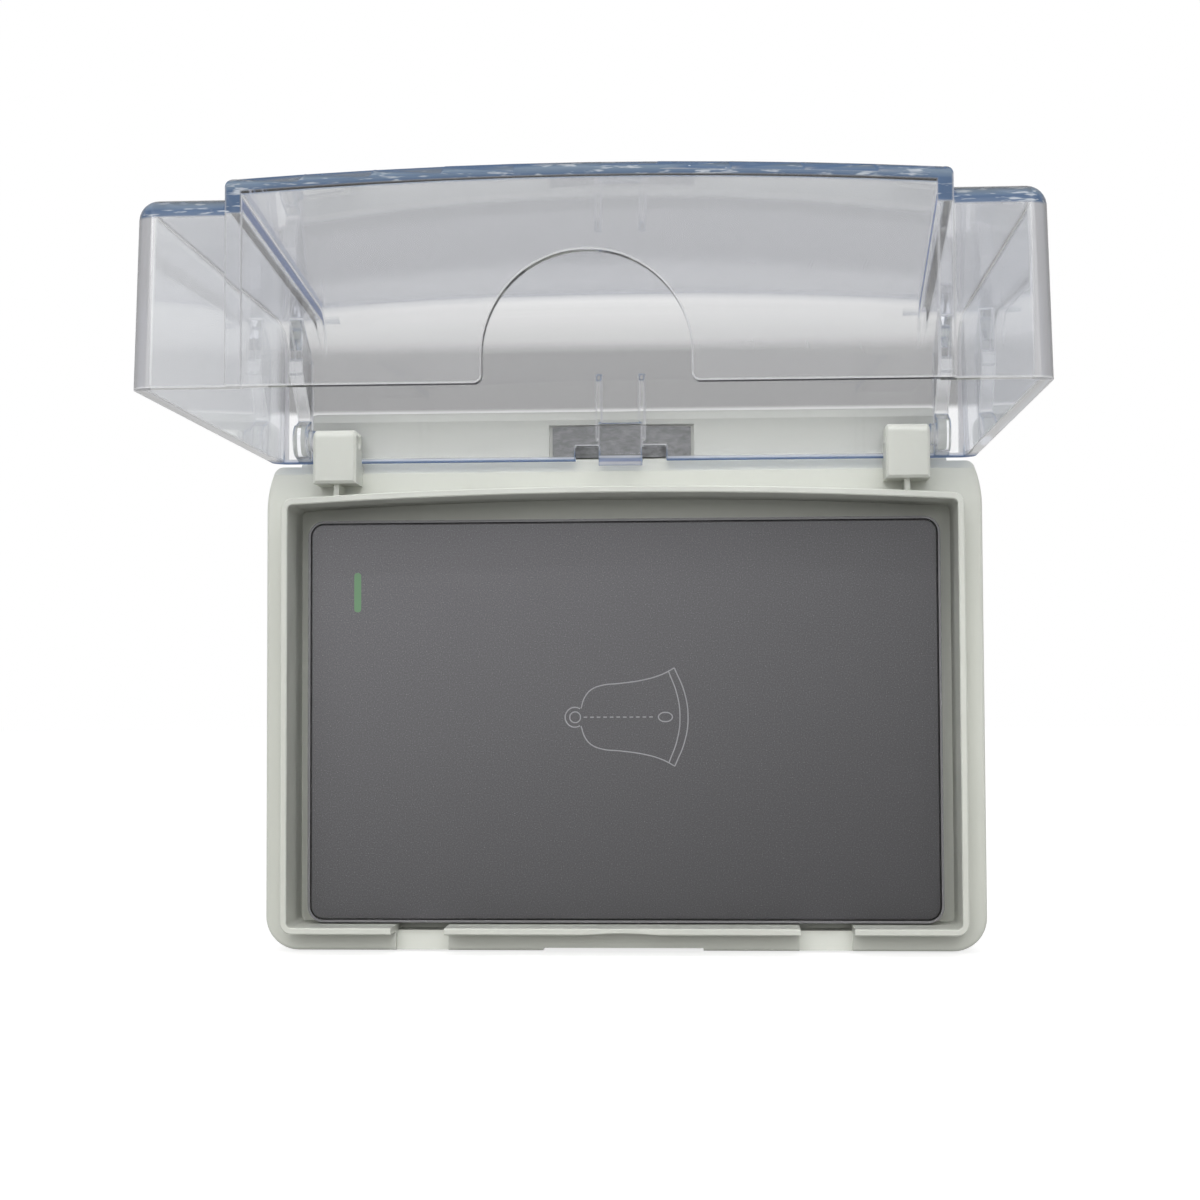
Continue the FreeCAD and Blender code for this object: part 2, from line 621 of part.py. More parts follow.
def make_base_frame():
    """The white box: floor, band, lip, drains, and the hinge strip with its two knuckles."""
    body = new_body("base_frame")
    shoulder_x = box_half_width - size.taper_in
    add(
        body, FRONT, as_size(0), size.band_out,
        polygon(
            (-box_half_width, -box_foot),
            (box_half_width, -box_foot),
            (box_half_width, taper_start),
            (shoulder_x, shoulder_z),
            (neck_half_width, shoulder_z),
            (neck_half_width, neck_top),
            (-neck_half_width, neck_top),
            (-neck_half_width, shoulder_z),
            (-shoulder_x, shoulder_z),
            (-box_half_width, taper_start),
        ),
    )
    middle_out = size.band_out / 2
    round_edges(body, size.box_corner, [
        (side * box_half_width, middle_out, -box_foot) for side in SIDES
    ])
    round_edges(body, size.taper_round, [
        (side * box_half_width, middle_out, taper_start) for side in SIDES
    ])
    round_edges(body, size.shoulder_round, [
        (side * shoulder_x, middle_out, shoulder_z) for side in SIDES
    ])
    round_edges(body, size.neck_corner, [
        (side * neck_half_width, middle_out, neck_top) for side in SIDES
    ])
    round_edges(body, size.band_bevel, [
        (0, size.band_out, -box_foot),
        (box_half_width, size.band_out, 0),
        (-box_half_width, size.band_out, 0),
    ])

    # Lip and recess, both with the same arched upper side
    add(
        body, FRONT, size.band_out / 2, size.lip_out,
        arched(lip_half_width, -lip_foot, recess_side_top + size.lip_wall, size.recess_rise),
    )
    near_top = size.lip_out - 1
    round_edges(body, size.lip_corner, [
        (side * lip_half_width, near_top, -lip_foot) for side in SIDES
    ])
    lip_top = recess_side_top + size.lip_wall
    round_edges(body, size.lip_corner, [
        (side * lip_half_width, near_top, lip_top) for side in SIDES
    ])
    cut(
        body, FRONT, size.floor_thick, size.lip_out,
        arched(recess_half_width, -recess_foot, recess_side_top, size.recess_rise),
    )
    round_edges(body, size.recess_corner, [
        (side * recess_half_width, near_top, -recess_foot) for side in SIDES
    ])
    round_edges(body, size.recess_corner, [
        (side * recess_half_width, near_top, recess_side_top) for side in SIDES
    ])
    bevel_edges(body, size.lip_bevel, [
        (0, size.lip_out, -recess_foot),
        (0, size.lip_out, -lip_foot),
        (recess_half_width, size.lip_out, 0),
        (lip_half_width, size.lip_out, 0),
        (-recess_half_width, size.lip_out, 0),
        (-lip_half_width, size.lip_out, 0),
        (0, size.lip_out, recess_side_top + size.recess_rise),
        (0, size.lip_out, recess_side_top + size.lip_wall + size.recess_rise),
    ])

    # Floor opening for the rear housing, and the holes for the wall screws
    cut(
        body, FRONT, as_size(0), size.floor_thick,
        rounded(-window_half_width, window_half_width,
                -window_half_height, window_half_height, size.window_corner),
    )
    cut(
        body, FRONT, as_size(0), size.floor_thick,
        circle(-size.screw_spacing / 2, 0, size.floor_hole_radius),
        circle(size.screw_spacing / 2, 0, size.floor_hole_radius),
    )

    # Trough round the hinge axis, open to the front, and the flat that stops the cover
    reach = box_half_width + 1
    cut(
        body, SIDE, -reach, reach,
        circle(-size.hinge_out, hinge_z, size.trough_radius),
    )
    cut(
        body, SIDE, -reach, reach,
        rectangle(-size.lip_out, -size.stop_out, trough_high, neck_top + 1),
    )

    # Pocket for the leaf spring
    half_spring = size.spring_width / 2 + size.pocket_gap / 2
    cut(
        body, FRONT, size.pocket_out, size.band_out,
        rectangle(-pocket_half, pocket_half,
                  hinge_z - half_spring, hinge_z + half_spring),
    )

    # Knuckles, each a post with a barrel that is open at the top for the pin
    for side in SIDES:
        low, high = mirrored(side, knuckle_inner, knuckle_inner + size.knuckle_width)
        add(
            body, SIDE, low, high,
            rectangle(-size.knuckle_front, -size.stop_out, knuckle_foot, knuckle_post_top),
        )
        add(
            body, SIDE, low, high,
            circle(-size.hinge_out, hinge_z, size.knuckle_radius),
        )
        add(
            body, SIDE, low, high,
            rectangle(-size.knuckle_front, -size.hinge_out,
                      knuckle_foot, hinge_z + size.knuckle_crown),
        )
        add(
            body, SIDE, low, high,
            rectangle(-size.hinge_out, -size.hinge_out + size.knuckle_radius,
                      knuckle_foot, hinge_z),
        )
        cut(
            body, SIDE, low, high,
            rectangle(-size.knuckle_front, -size.stop_out,
                      hinge_z + size.knuckle_crown, hinge_z + size.knuckle_radius + 1),
        )
        middle = (low + high) / 2
        round_edges(body, size.knuckle_brow, [
            (middle, size.knuckle_front, hinge_z + size.knuckle_crown),
        ])
        bevel_edges(body, size.knuckle_bevel, [
            (low, size.knuckle_front, hinge_z - 1),
            (high, size.knuckle_front, hinge_z - 1),
            (middle, size.knuckle_front, knuckle_foot),
        ])
        cut(
            body, SIDE, low, high,
            circle(-size.hinge_out, hinge_z, size.pin_radius + size.running_gap),
        )
        cut(
            body, SIDE, low, high,
            rectangle(-size.hinge_out - size.snap_width / 2, -size.hinge_out + size.snap_width / 2,
                      hinge_z, hinge_z + size.knuckle_radius + 1),
        )
        low, high = mirrored(side, gusset_x - size.gusset_wall / 2,
                             gusset_x + size.gusset_wall / 2)
        add(
            body, SIDE, low, high,
            rectangle(-size.gusset_out, -size.band_out / 2,
                      recess_side_top + size.lip_wall / 2, knuckle_foot + 1),
        )

    # Drain notches through the lower lip, each with a ramp over the band
    beyond = box_foot + 1
    for side in SIDES:
        low, high = mirrored(side, drain_x - size.drain_width / 2,
                             drain_x + size.drain_width / 2)
        cut(
            body, SIDE, low, high,
            polygon(
                (-size.lip_out - 1, -recess_foot + size.lip_wall),
                (-size.drain_floor, -recess_foot + size.lip_wall),
                (-size.drain_floor, -lip_foot),
                (-size.drain_step, -lip_foot),
                (-size.drain_end, -beyond),
                (-size.lip_out - 1, -beyond),
            ),
        )

    # Finger relief in the lower edge, and the scoop in the lip above it
    cut(
        body, FRONT, size.grip_from, size.band_out + 1,
        rectangle(-size.grip_half_width, size.grip_half_width,
                  -box_foot - 1, -box_foot + size.grip_depth),
    )
    cut(
        body, FRONT, size.band_out, size.lip_out,
        arched(size.scoop_half_width, -lip_foot - 1, -lip_foot, size.scoop_rise),
    )

    # Rear side: groove for the seal, and hollow bays behind the hinge strip
    seal_height = gasket_top + gasket_foot
    ring = size.gasket_width
    cut(
        body, FRONT, as_size(0), size.gasket_deep,
        *seal_outline(gasket_half_width, -gasket_foot, gasket_top, ring),
    )
    bay_total = 2 * bay_half_width
    count = int(size.bay_count.value)
    bay_width = (bay_total - (count - 1) * size.bay_rib) / count
    for index in range(count):
        left = index * (bay_width + size.bay_rib) - bay_half_width
        cut(
            body, FRONT, as_size(0), size.bay_deep,
            rectangle(left, left + bay_width, bay_low, bay_high),
        )
    return body


def seal_outline(half_width, low, high, ring):
    corner = size.gasket_corner
    outer = rounded(-half_width, half_width, low, high, corner)
    inner = rounded(-half_width + ring, half_width - ring, low + ring, high - ring, corner - ring)
    return outer, inner


def make_rear_gasket():
    """Foam seal that fills the groove in the box's rear edge."""
    body = new_body("rear_gasket")
    add(
        body, FRONT, as_size(0), size.gasket_deep,
        *seal_outline(gasket_half_width, -gasket_foot, gasket_top, size.gasket_width),
    )
    return body


def make_leaf_spring():
    """Bowed steel strip that clicks the cover open and shut."""
    body = new_body("leaf_spring")
    front = size.pocket_out + size.spring_thick
    half = size.spring_half_length
    foot = front
    add(
        body, TOP, hinge_z - size.spring_width / 2, hinge_z + size.spring_width / 2,
        arched_band(half, -foot, size.spring_bow, size.spring_thick),
    )
    return body


def arched_band(half_length, edge, bow, thick):
    """A strip in the X-Y plane that bows towards -Y, with flat-cut ends."""
    outer = (half_length * half_length + bow * bow) / (2 * bow)

    def draw(sketch):
        ends = [(-half_length, edge), (half_length, edge),
                (half_length, edge + thick), (-half_length, edge + thick)]
        front = Part.Arc(point(*ends[0]), point(0, edge - bow), point(*ends[1]))
        back = Part.Arc(point(*ends[3]), point(0, edge + thick - bow), point(*ends[2]))
        front_edge = sketch.addGeometry(front, False)
        back_edge = sketch.addGeometry(back, False)
        right = sketch.addGeometry(Part.LineSegment(point(*ends[1]), point(*ends[2])), False)
        left = sketch.addGeometry(Part.LineSegment(point(*ends[3]), point(*ends[0])), False)
        pairs = [(front_edge, 1, left, 2), (front_edge, 2, right, 1),
                 (back_edge, 1, left, 1), (back_edge, 2, right, 2)]
        for first, first_end, second, second_end in pairs:
            joint = Sketcher.Constraint("Coincident", first, first_end, second, second_end)
            sketch.addConstraint(joint)
        pin_point(sketch, front_edge, 1, *ends[0])
        pin_point(sketch, front_edge, 2, *ends[1])
        pin_point(sketch, back_edge, 2, *ends[2])
        pin_point(sketch, back_edge, 1, *ends[3])
        for edge_index in (front_edge, back_edge):
            radius = Sketcher.Constraint("Radius", edge_index, outer.value)
            index = sketch.addConstraint(radius)
            bind(sketch, f"Constraints[{index}]", outer)

    return draw


def lid_wings(name, inset):
    """The cover's side parts as a solid, drawn in by inset on every side."""
    body = new_body(name)
    half = lid_half_width - inset
    back = lid_outer_back + inset
    near = lid_outer_near - inset
    top = wing_top - inset
    half_top = half - size.lid_draft
    near_top = near - size.lid_draft
    add(
        body, FRONT, back, near,
        polygon((-half, rim_z), (half, rim_z), (half_top, top), (-half_top, top)),
    )
    cut(
        body, SIDE, -half, half,
        polygon((-near, rim_z), (-near_top, top), (-near - 1, top), (-near - 1, rim_z)),
    )
    round_edges(body, size.lid_brow - inset, [(0, back, top)])
    middle_out = (back + near) / 2
    middle_z = (rim_z + top) / 2
    corner_x = (half + half_top) / 2
    corner_out = (near + near_top) / 2
    corners = [(corner_x, corner_out, middle_z), (-corner_x, corner_out, middle_z)]
    if inset.value > 0:
        round_edges(body, size.lid_round - inset, corners)
        return body
    round_edges(body, size.lid_round, corners + [
        (0, near_top, top),
        (half_top, middle_out, top),
        (-half_top, middle_out, top),
        (half, back, rim_z + 1),
        (-half, back, rim_z + 1),
    ])
    return body


def lid_bulge(name, inset):
    """The cover's raised, arched middle as a solid, wider at the hinge than at its free end."""
    body = new_body(name)
    far_half = bulge_far - inset
    near_half = bulge_near - inset
    back = lid_outer_back + inset
    near = lid_outer_near + size.bulge_nose - inset
    top = bulge_top - inset
    add(body, FRONT, back, near, arched(far_half, rim_z, top, size.bulge_camber))
    beyond = bulge_far + 5
    for side in SIDES:
        cut(
            body, TOP, rim_z, top + size.bulge_camber + 1,
            polygon(
                (side * far_half, -back),
                (side * near_half, -near),
                (side * beyond, -near),
                (side * beyond, -back),
            ),
        )
    round_edges(body, size.lid_brow + size.bulge_stand - inset, [
        (0, back, top + size.bulge_camber),
    ])
    if inset.value > 0:
        return body
    middle_half = (far_half + near_half) / 2
    middle_out = (back + near) / 2
    round_edges(body, size.bulge_round, [
        (0, near, top + size.bulge_camber),
        (middle_half, middle_out, top),
        (-middle_half, middle_out, top),
    ])
    return body


def make_ear(side):
    """One hinge ear of the cover: plate, stiffening rib, shoulder and pin."""
    name = "right" if side > 0 else "left"
    body = new_body(f"{name}_ear")
    low, high = mirrored(side, ear_inner, ear_inner + size.ear_thick)
    in_wall = lid_outer_back + size.lid_wall / 2
    rib_out = size.hinge_out + size.ear_rib_out
    neck_z = hinge_z + size.ear_radius
    add(
        body, SIDE, low, high,
        polygon(
            (-in_wall, rim_z),
            (-size.hinge_out, hinge_z - size.ear_radius),
            (-size.hinge_out, neck_z),
            (-in_wall - size.lid_wall, neck_z + 1),
            (-rib_out, wing_top - size.lid_brow - size.ear_radius),
            (-rib_out, wing_top - size.lid_wall),
            (-in_wall - size.lid_wall, wing_top - size.lid_brow + size.lid_wall),
            (-in_wall, wing_top - size.lid_brow - size.lid_wall),
        ),
    )
    add(body, SIDE, low, high, circle(-size.hinge_out, hinge_z, size.ear_radius))
    shoulder = knuckle_inner + size.knuckle_width + size.fit_gap
    low, high = mirrored(side, shoulder, ear_inner)
    add(body, SIDE, low, high, circle(-size.hinge_out, hinge_z, size.pin_shoulder))
    low, high = mirrored(side, pin_inner, ear_inner)
    add(body, SIDE, low, high, circle(-size.hinge_out, hinge_z, size.pin_radius))
    return body


def make_cam():
    """The cover's rounded cam, which rides over the leaf spring, and its two ribs."""
    body = new_body("cam")
    back = size.hinge_out - size.cam_back
    foot = hinge_z - size.cam_foot
    front = size.hinge_out - size.cam_back + 2 * size.lid_wall
    top = hinge_z + size.ear_radius
    half = size.cam_half_width
    add(body, SIDE, -half, half, rectangle(-front, -back, foot, top))
    round_edges(body, size.cam_round, [(0, back, foot)])
    inner_wall = lid_outer_back + size.lid_wall / 2
    for side in SIDES:
        low, high = mirrored(side, half - size.gusset_wall / 2, half + size.gusset_wall / 2)
        add(
            body, SIDE, low, high,
            polygon(
                (-inner_wall, hinge_z),
                (-inner_wall - size.lid_wall / 2 - size.cam_rib_stand, hinge_z),
                (-inner_wall - size.lid_wall / 2 - size.cam_rib_stand, cam_rib_top - 2),
                (-inner_wall, cam_rib_top),
            ),
        )
    return body


def arch_flare(side, wall_start, wall_end):
    """What the rounded corner between the cable arch and the rim takes away."""
    name = "right" if side > 0 else "left"
    inner, outer = mirrored(side, size.arch_radius - size.arch_corner / 2,
                            size.arch_radius + size.arch_corner)
    corner = block(f"{name}_corner", inner, outer, wall_start, wall_end,
                   rim_z - 1, rim_z + size.arch_corner)
    kept = rod_out(f"{name}_kept", side * (size.arch_radius + size.arch_corner),
                   rim_z + size.arch_corner, size.arch_corner, wall_start, wall_end)
    return remove(f"{name}_flare", corner, kept)


def make_clear_lid():
    """The clear cover, stored open: its rim faces down and its face points up."""
    outer = join("lid_outside", [lid_wings("lid_wings_out", as_size(0)),
                                 lid_bulge("lid_bulge_out", as_size(0))])
    core = join("lid_inside", [lid_wings("lid_wings_in", size.lid_wall),
                               lid_bulge("lid_bulge_in", size.lid_wall)])
    shell = remove("lid_shell", outer, core)

    # Cable arch in the free wall, and the notch beside the cam in the hinge wall
    wall_start = lid_outer_near - 2 * size.lid_wall
    wall_end = lid_outer_near + 2 * size.lid_wall
    arch = join("lid_arch", [
        block("arch_sides", -size.arch_radius, size.arch_radius, wall_start, wall_end,
              rim_z - 1, rim_z + size.arch_straight),
        rod_out("arch_top", 0, rim_z + size.arch_straight, size.arch_radius, wall_start, wall_end),
        arch_flare(-1, wall_start, wall_end),
        arch_flare(1, wall_start, wall_end),
    ])
    notch = block("cam_notch", -size.cam_notch, size.cam_notch,
                  lid_outer_back - 1, lid_outer_back + size.lid_wall + 1,
                  rim_z - 1, rim_z + size.cam_notch_tall)
    opened = remove("lid_opened", shell, join("lid_cuts", [arch, notch]))
    return join("clear_lid", [opened, make_cam(), make_ear(-1), make_ear(1)])


def make_mounting_yoke():
    """Steel plate on the box floor that the wall screws clamp."""
    body = new_body("mounting_yoke")
    low, high = size.floor_thick, yoke_front
    half_width, half_height = yoke_half_width, yoke_half_height
    add(body, FRONT, low, high,
        rounded(-half_width, half_width, -half_height, half_height, size.yoke_corner))
    opening_width = size.housing_half_width + size.fit_gap
    opening_height = size.housing_half_height + size.fit_gap
    cut(body, FRONT, low, high,
        rounded(-opening_width, opening_width, -opening_height, opening_height,
                size.housing_corner))
    for side in SIDES:
        centre = side * size.screw_spacing / 2
        cut(body, FRONT, low, high,
            rectangle(centre - size.screw_hole_radius, centre + size.screw_hole_radius,
                      -size.screw_slot / 2, size.screw_slot / 2))
        for end in SIDES:
            cut(body, FRONT, low, high,
                circle(centre, end * size.screw_slot / 2, size.screw_hole_radius))
    return body


def make_trim_frame():
    """Thin frame round the key, with the flange that rests on the yoke."""
    body = new_body("trim_frame")
    low = size.floor_thick + size.trim_lift
    high = size.panel_out - size.trim_recess
    add(body, FRONT, low, high,
        rounded(-panel_half_width, panel_half_width, -panel_half_height, panel_half_height,
                size.panel_corner))
    flange_front = yoke_front + size.flange_thick
    cut(body, FRONT, flange_front, high,
        rounded(-trim_inner_width, trim_inner_width, -trim_inner_height, trim_inner_height,
                size.panel_corner - size.trim_wall))
    cut(body, FRONT, yoke_front, flange_front,
        rectangle(-flange_half_width, flange_half_width, -flange_half_height, flange_half_height))
    rear_width = yoke_half_width + size.fit_gap
    rear_height = yoke_half_height + size.fit_gap
    cut(body, FRONT, low, yoke_front,
        rectangle(-rear_width, rear_width, -rear_height, rear_height))
    return body


def make_key_carrier():
    """Plate in front of the housing that carries the key's two trunnions."""
    body = new_body("key_carrier")
    half_width = flange_half_width - size.fit_gap
    half_height = flange_half_height - size.fit_gap
    add(body, FRONT, yoke_front, carrier_front,
        rectangle(-half_width, half_width, -half_height, half_height))
    reach = size.tact_size / 2 + size.fit_gap
    cut(body, FRONT, yoke_front, carrier_front,
        rectangle(-size.tact_x - reach, -size.tact_x + reach, -reach, reach))
    head_hole = size.screw_head_radius + size.fit_gap
    for side in SIDES:
        cut(body, FRONT, yoke_front, carrier_front,
            circle(side * size.screw_spacing / 2, 0, head_hole))
    for across, up in housing_screw_places():
        cut(body, FRONT, yoke_front, carrier_front,
            circle(across, up, size.small_screw_radius + size.fit_gap))
    ear_top = size.pivot_out + size.pivot_radius
    for side in SIDES:
        low, high = mirrored(side, pivot_z - size.lug_thick, pivot_z)
        add(body, FRONT, carrier_front, ear_top,
            rectangle(-pivot_x - 2 * size.pivot_radius, -pivot_x + 2 * size.pivot_radius,
                      low, high))
        low, high = mirrored(side, pivot_z, pivot_z + size.pivot_length)
        add(body, TOP, low, high, circle(-pivot_x, -size.pivot_out, size.pivot_radius))
    return body


def make_key_plate():
    """Full-face key: a shallow tray with two pivot lugs and the boss that presses the switch."""
    body = new_body("key_plate")
    skirt_back = key_under - size.key_skirt
    corner = size.panel_corner - size.trim_wall - size.key_gap
    add(body, FRONT, skirt_back, size.panel_out,
        rounded(-key_half_width, key_half_width, -key_half_height, key_half_height, corner))
    bevel_edges(body, size.key_bevel, [(0, size.panel_out, key_half_height)])
    inner_width = key_half_width - size.key_wall
    inner_height = key_half_height - size.key_wall
    cut(body, FRONT, skirt_back, key_under,
        rounded(-inner_width, inner_width, -inner_height, inner_height, corner - size.key_wall))
    add(body, FRONT, plunger_top + size.press_gap, key_under + size.key_face / 2,
        circle(-size.tact_x, 0, size.boss_radius))
    hole = size.pivot_radius + size.running_gap
    lug_back = size.pivot_out - hole - size.lug_foot
    for side in SIDES:
        inner = pivot_z + size.fit_gap
        low, high = mirrored(side, inner, inner + size.lug_thick)
        add(body, FRONT, lug_back, key_under + size.key_face / 2,
            centred(-pivot_x, (low + high) / 2, size.lug_width, size.lug_thick))
        cut(body, TOP, low, high, circle(-pivot_x, -size.pivot_out, hole))
    cut(body, FRONT, key_under, size.panel_out, strip_outline())
    return body


def strip_outline():
    """Outline of the light strip and of its slot in the key."""
    half_width = size.strip_width / 2
    half_height = size.strip_height / 2
    return rounded(-strip_x - half_width, -strip_x + half_width,
                   strip_z - half_height, strip_z + half_height, size.strip_corner)


def make_light_guide():
    """Pale strip that shows the light through the key."""
    body = new_body("light_guide")
    back = size.panel_out - size.strip_depth
    add(body, FRONT, back, size.panel_out, strip_outline())
    shoulder = 2 * size.strip_width
    add(body, FRONT, back, key_under,
        centred(-strip_x, strip_z, shoulder, size.strip_height + size.strip_width))
    return body


def housing_screw_places():
    across = size.housing_half_width - size.housing_wall - size.post_size / 2
    up = size.housing_half_height - size.housing_wall - size.post_size / 2
    return [(side * across, -side * up) for side in SIDES]


def make_rear_housing():
    """Open-fronted housing that sits in the wall box, with two screw posts."""
    body = new_body("rear_housing")
    half_width, half_height = size.housing_half_width, size.housing_half_height
    add(body, FRONT, housing_back, yoke_front,
        rounded(-half_width, half_width, -half_height, half_height, size.housing_corner))
    inner_width = half_width - size.housing_wall
    inner_height = half_height - size.housing_wall
    inside_back = housing_back + size.housing_wall
    cut(body, FRONT, inside_back, yoke_front,
        rounded(-inner_width, inner_width, -inner_height, inner_height,
                size.housing_corner - size.housing_wall))
    for across, up in housing_screw_places():
        add(body, FRONT, housing_back + size.housing_wall / 2, board_back,
            centred(across, up, size.post_size, size.post_size))
        cut(body, FRONT, yoke_front - size.small_screw_length, board_back,
            circle(across, up, size.small_screw_radius))
    cut(body, FRONT, housing_back, inside_back,
        centred(terminal_x, -terminal_z,
                size.terminal_width + 2 * size.fit_gap, size.terminal_height + 2 * size.fit_gap))
    return body


def make_main_board():
    """Circuit board on the housing's posts."""
    body = new_body("main_board")
    half_width = size.housing_half_width - size.housing_wall - size.board_gap
    half_height = size.housing_half_height - size.housing_wall - size.board_gap
    corner = size.housing_corner - size.housing_wall
    add(body, FRONT, board_back, size.board_out,
        rounded(-half_width, half_width, -half_height, half_height, corner))
    for across, up in housing_screw_places():
        cut(body, FRONT, board_back, size.board_out,
            circle(across, up, size.small_screw_radius + size.fit_gap / 2))
    return body


def make_tact_switch():
    """Push switch body with the bore that guides its plunger."""
    body = new_body("tact_switch")
    add(body, FRONT, size.board_out, tact_top, centred(-size.tact_x, 0, size.tact_size, size.tact_size))
    bore_depth = size.plunger_guide + size.plunger_room
    cut(body, FRONT, tact_top - bore_depth, tact_top,
        circle(-size.tact_x, 0, size.plunger_radius + size.plunger_side_gap))
    return body


def make_tact_plunger():
    body = new_body("tact_plunger")
    add(body, FRONT, tact_top - size.plunger_guide, plunger_top,
        circle(-size.tact_x, 0, size.plunger_radius))
    return body


def make_power_module():
    body = new_body("power_module")
    add(body, FRONT, board_back - size.supply_tall, board_back,
        centred(-size.supply_x, size.supply_z, size.supply_width, size.supply_height))
    middle = board_back - size.supply_tall / 2
    round_edges(body, size.trim_wall, [
        (across * size.supply_width / 2 - size.supply_x, middle,
         up * size.supply_height / 2 + size.supply_z)
        for across in SIDES for up in SIDES
    ])
    return body


def make_capacitor():
    body = new_body("capacitor")
    back = board_back - size.capacitor_tall
    add(body, FRONT, back, board_back,
        circle(capacitor_x, capacitor_z, size.capacitor_radius))
    bevel_edges(body, size.key_bevel, [
        (capacitor_x - size.capacitor_radius, back, capacitor_z),
    ])
    return body


def make_radio_module():
    body = new_body("radio_module")
    add(body, FRONT, size.board_out, size.board_out + size.radio_thick,
        centred(radio_x, radio_z, size.radio_width, size.radio_height))
    return body


def make_radio_shield():
    """Pressed metal can over the radio chip, open at the back."""
    body = new_body("radio_shield")
    low = size.board_out + size.radio_thick
    high = low + size.shield_tall
    add(body, FRONT, low, high,
        centred(radio_x, radio_z, size.shield_width, size.shield_height))
    cut(body, FRONT, low, high - size.shield_wall,
        centred(radio_x, radio_z,
                size.shield_width - 2 * size.shield_wall, size.shield_height - 2 * size.shield_wall))
    return body


def make_led_board():
    body = new_body("led_board")
    add(body, FRONT, carrier_front, carrier_front + size.led_board_thick,
        centred(-strip_x, strip_z, size.led_board_width, size.led_board_height))
    return body


def make_status_leds():
    """Two lights on the light board, behind the strip."""
    low = carrier_front + size.led_board_thick
    half = size.led_size / 2
    lights = []
    for side in SIDES:
        middle = strip_z + side * size.led_pitch / 2
        lights.append(block(f"light_{side + 2}", -strip_x - half, -strip_x + half,
                            low, low + size.led_tall, middle - half, middle + half))
    return group("status_leds", lights)


def terminal_places():
    return [terminal_x + step * size.terminal_pitch for step in (-1, 0, 1)]


def make_terminal_block():
    """Three-way terminal block that shows through the housing's rear wall."""
    body = new_body("terminal_block")
    add(body, FRONT, housing_back, board_back,
        centred(terminal_x, -terminal_z, size.terminal_width, size.terminal_height))
    quarter = size.terminal_height / 4
    bottom = board_back - size.board_thick
    for x in terminal_places():
        cut(body, FRONT, housing_back, bottom,
            circle(x, quarter - terminal_z, size.terminal_hole))
        cut(body, FRONT, housing_back, bottom,
            centred(x, -quarter - terminal_z, 2 * size.wire_hole, 2 * size.wire_hole))
    return body


def make_terminal_screws():
    quarter = size.terminal_height / 4
    back = housing_back + size.terminal_recess
    bottom = board_back - size.board_thick
    screws = []
    for index, x in enumerate(terminal_places()):
        screws.append(rod_out(f"terminal_screw_{index}", x, quarter - terminal_z,
                              size.terminal_hole, back, bottom))
    return group("terminal_screws", screws)


def make_housing_screws():
    """Two self-tapping screws through carrier and board into the housing's posts."""
    screws = []
    for index, (across, up) in enumerate(housing_screw_places()):
        shank = rod_out(f"small_shank_{index}", across, up, size.small_screw_radius,
                        yoke_front - size.small_screw_length, carrier_front)
        head = rod_out(f"small_head_{index}", across, up, size.small_head_radius,
                       carrier_front, carrier_front + size.small_head_tall)
        screws.append(join(f"small_screw_{index}", [shank, head]))
    return group("housing_screws", screws)


def make_wall_screws():
    """Two screws that clamp yoke and box to the wall box behind."""
    screws = []
    for index, side in enumerate(SIDES):
        x = side * size.screw_spacing / 2
        neck_back = yoke_front - size.screw_neck_tall
        shank = rod_out(f"wall_shank_{index}", x, 0, size.screw_radius,
                        -size.screw_reach, neck_back)
        neck = rod_out(f"wall_neck_{index}", x, 0, size.screw_neck_radius, neck_back, yoke_front)
        head = rod_out(f"wall_head_{index}", x, 0, size.screw_head_radius,
                       yoke_front, yoke_front + size.screw_head_tall)
        screws.append(join(f"wall_screw_{index}", [shank, neck, head]))
    return group("wall_screws", screws)


MAKERS = [
    make_base_frame, make_rear_gasket, make_leaf_spring, make_clear_lid, make_mounting_yoke,
    make_trim_frame, make_key_carrier, make_key_plate, make_light_guide, make_rear_housing,
    make_main_board, make_tact_switch, make_tact_plunger, make_power_module, make_capacitor,
    make_radio_module, make_radio_shield, make_led_board, make_status_leds, make_terminal_block,
    make_terminal_screws, make_housing_screws, make_wall_screws,
]

nodes = [make() for make in MAKERS]
doc.recompute()

# Everything is tested before anything is written

for thing in doc.Objects:
    if {"Invalid", "Error"} & set(thing.State):
        raise RuntimeError(f"{thing.Name} failed: {thing.State}")
for body in doc.findObjects("PartDesign::Body"):
    before = None
    for feature in body.Group:
        if not hasattr(feature, "AddSubShape") and "Fillet" not in feature.TypeId:
            continue
        if feature.TypeId == "PartDesign::Pocket" and feature.Shape.Volume >= before:
            raise RuntimeError(f"{feature.Name} cuts nothing")
        before = feature.Shape.Volume
for node in nodes:
    if node.Shape.isNull() or not node.Shape.isValid():
        raise RuntimeError(f"{node.Label} has no valid shape")

os.makedirs("parts", exist_ok=True)
for node in nodes:
    node.Shape.exportStep(f"parts/{node.Label}.step")
    print(f"{node.Label}: {len(node.Shape.Solids)} solid(s), {node.Shape.Volume / 1000:.2f} cm3")
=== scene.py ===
import math

import bpy
from mathutils import Matrix, Vector


